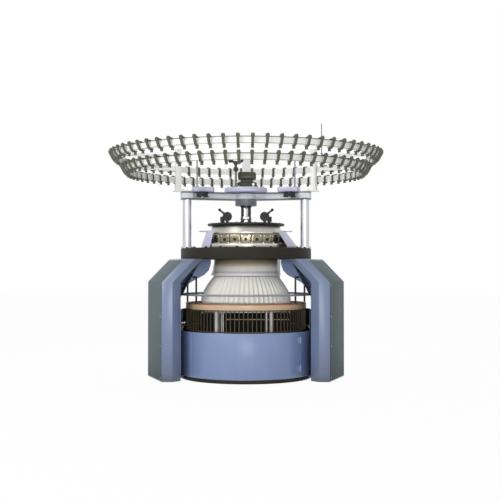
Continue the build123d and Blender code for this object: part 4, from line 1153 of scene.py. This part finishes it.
# %% Wind the roll
roll_low, roll_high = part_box("fabric_roll")
ROLL_AT = middle_of(roll_low, roll_high)
ROLL_R = (roll_high[2] - roll_low[2]) / 2
CLOTH_HALF = 0.404
BAR_R = 0.0135
LENGTHS = 24
roll = cylinder("wound_fabric", ROLL_R - 0.0015, 2 * CLOTH_HALF, ROLL_AT, 64, ALONG_X)
cuts = [(-CLOTH_HALF + 2 * CLOTH_HALF * k / LENGTHS, 0, 0) for k in range(1, LENGTHS)]
slice_through(roll, cuts, (1, 0, 0))
for point in roll.data.vertices:
    x = point.co.x
    if abs(x) < CLOTH_HALF - 0.001:
        swell = 1 + 0.0012 * math.sin(9 * x / CLOTH_HALF) + 0.0016 * math.sin(31 * x + 1)
        point.co.yz = ROLL_AT.yz + (point.co.yz - ROLL_AT.yz) * swell
for push in (-0.003, 0.003) * 3:
    step_face(roll, lambda c, n: abs(n.x) > 0.9 and (c.yz - ROLL_AT.yz).length < 0.002, 0.008, push)
bar = cylinder("roll_bar", BAR_R, roll_high[0] - roll_low[0], ROLL_AT, 24, ALONG_X)
round_edges(bar, 0.002)
roll = joined("fabric_roll_finished", [paint(roll, "knit_fabric"), paint(bar, "bright_steel")])
settle(roll, "fabric_roll")
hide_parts("fabric_roll")
report("roll", roll)

# %% [markdown]
# ## Bolts on the structure, and the latch
# Every joint of the frame is bolted, with the bolt and washer of the cam drum: four round the foot of
# each post, two on each ring column's foot, eight on the deck. The bright knob beside the left leg
# is the latch of the gate, turned from one bar with three steps.

# %% Place the bolts
LEGS = {"left": 195.0, "rear": 90.0, "right": 345.0}
POST_CIRCLE, COLUMN_CIRCLE, DECK_CIRCLE = 0.6, 0.645, 0.19
post_foot_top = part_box("posts")[0][2] + 0.014
column_foot_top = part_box("deck")[0][2] + 0.012
deck_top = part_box("deck")[1][2]


def around(middle, circle, count, start):
    """Points on a small circle round a middle point."""
    for k in range(count):
        angle = math.radians(start + 360 * k / count)
        yield middle + Vector((circle * math.cos(angle), circle * math.sin(angle), 0))


bolts = []
for angle in LEGS.values():
    outward, across = outward_and_across(angle)
    foot = outward * POST_CIRCLE + Vector((0, 0, post_foot_top))
    bolts += [hexagon_bolt(place, 0.0075) for place in around(foot, 0.0505, 4, angle + 45)]
    foot = outward * COLUMN_CIRCLE + Vector((0, 0, column_foot_top))
    bolts += [hexagon_bolt(foot + across * side) for side in (-0.03, 0.03)]
bolts += [hexagon_bolt(place) for place in around(Vector((0, 0, deck_top)), DECK_CIRCLE, 8, 22.5)]
settle(joined("structure_bolts", bolts), "frame", "bright_steel")
print("bolts:", len(bolts))

# %% Turn the latch
LATCH_ANGLE = 205.0
LATCH_LEVEL = 0.55
sheet_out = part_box("fixed_guards")[1][0]
latch = cylinder("gate_latch", 0.011, 0.012, (sheet_out + 0.006, 0, LATCH_LEVEL), 24, ALONG_X)
step_face(latch, lambda c, n: n.x > 0.9, 0.004, 0.012)
pick(latch, lambda c, n: n.x > 0.9 and c.x > sheet_out + 0.02)
draw_out((0.004, 0, 0))
bpy.ops.transform.resize(value=(1, 1.9, 1.9))
draw_out((0.01, 0, 0))
done()
round_edges(latch, 0.0015)
latch.data.transform(about_axis(LATCH_ANGLE))
settle(latch, "frame", "chrome")

# %% [markdown]
# ## Screws on the leg panels
# Each leg is closed on the outside by a grey panel, which stands a little askew to the leg's angle.
# Its fixing screws sit near its two upright edges. The edges are found in the mesh itself: on each
# side of the leg's middle, it is the point that lies furthest out.


# %% Screw the panels on
PANEL_EDGE = 0.02
SCREW_SHARES = (0.03, 0.35, 0.65, 0.97)


def upright_edge(node, angle, side):
    """The foot of the panel's outer edge on one side of the leg, and the height of its top."""
    outward, across = outward_and_across(angle)
    points = [point.co.copy() for point in nodes[node].data.vertices]
    points = [p for p in points if p.dot(outward) > 0.5 and p.dot(across) * side > 0]
    reach = max(p.dot(outward) for p in points)
    edge = sorted((p for p in points if p.dot(outward) > reach - 0.0005), key=lambda p: p.z)
    return edge[0], edge[-1].z


panel_screws = []
for angle in LEGS.values():
    (right, top), (left, top) = (upright_edge("leg_side_panels", angle, side) for side in (-1, 1))
    run = (left - right).normalized()
    outward = run.cross(Vector((0, 0, 1)))
    for foot in (right + run * PANEL_EDGE, left - run * PANEL_EDGE):
        for share in SCREW_SHARES:
            place = foot + Vector((0, 0, (top - foot.z) * share))
            panel_screws.append(socket_screw("screw", 0.0065, 0.004, place, outward))
    print("panel", round((left - right).length, 3), "by", round(top - right.z, 3), "m")
settle(joined("panel_screws", panel_screws), "frame", "bright_steel")
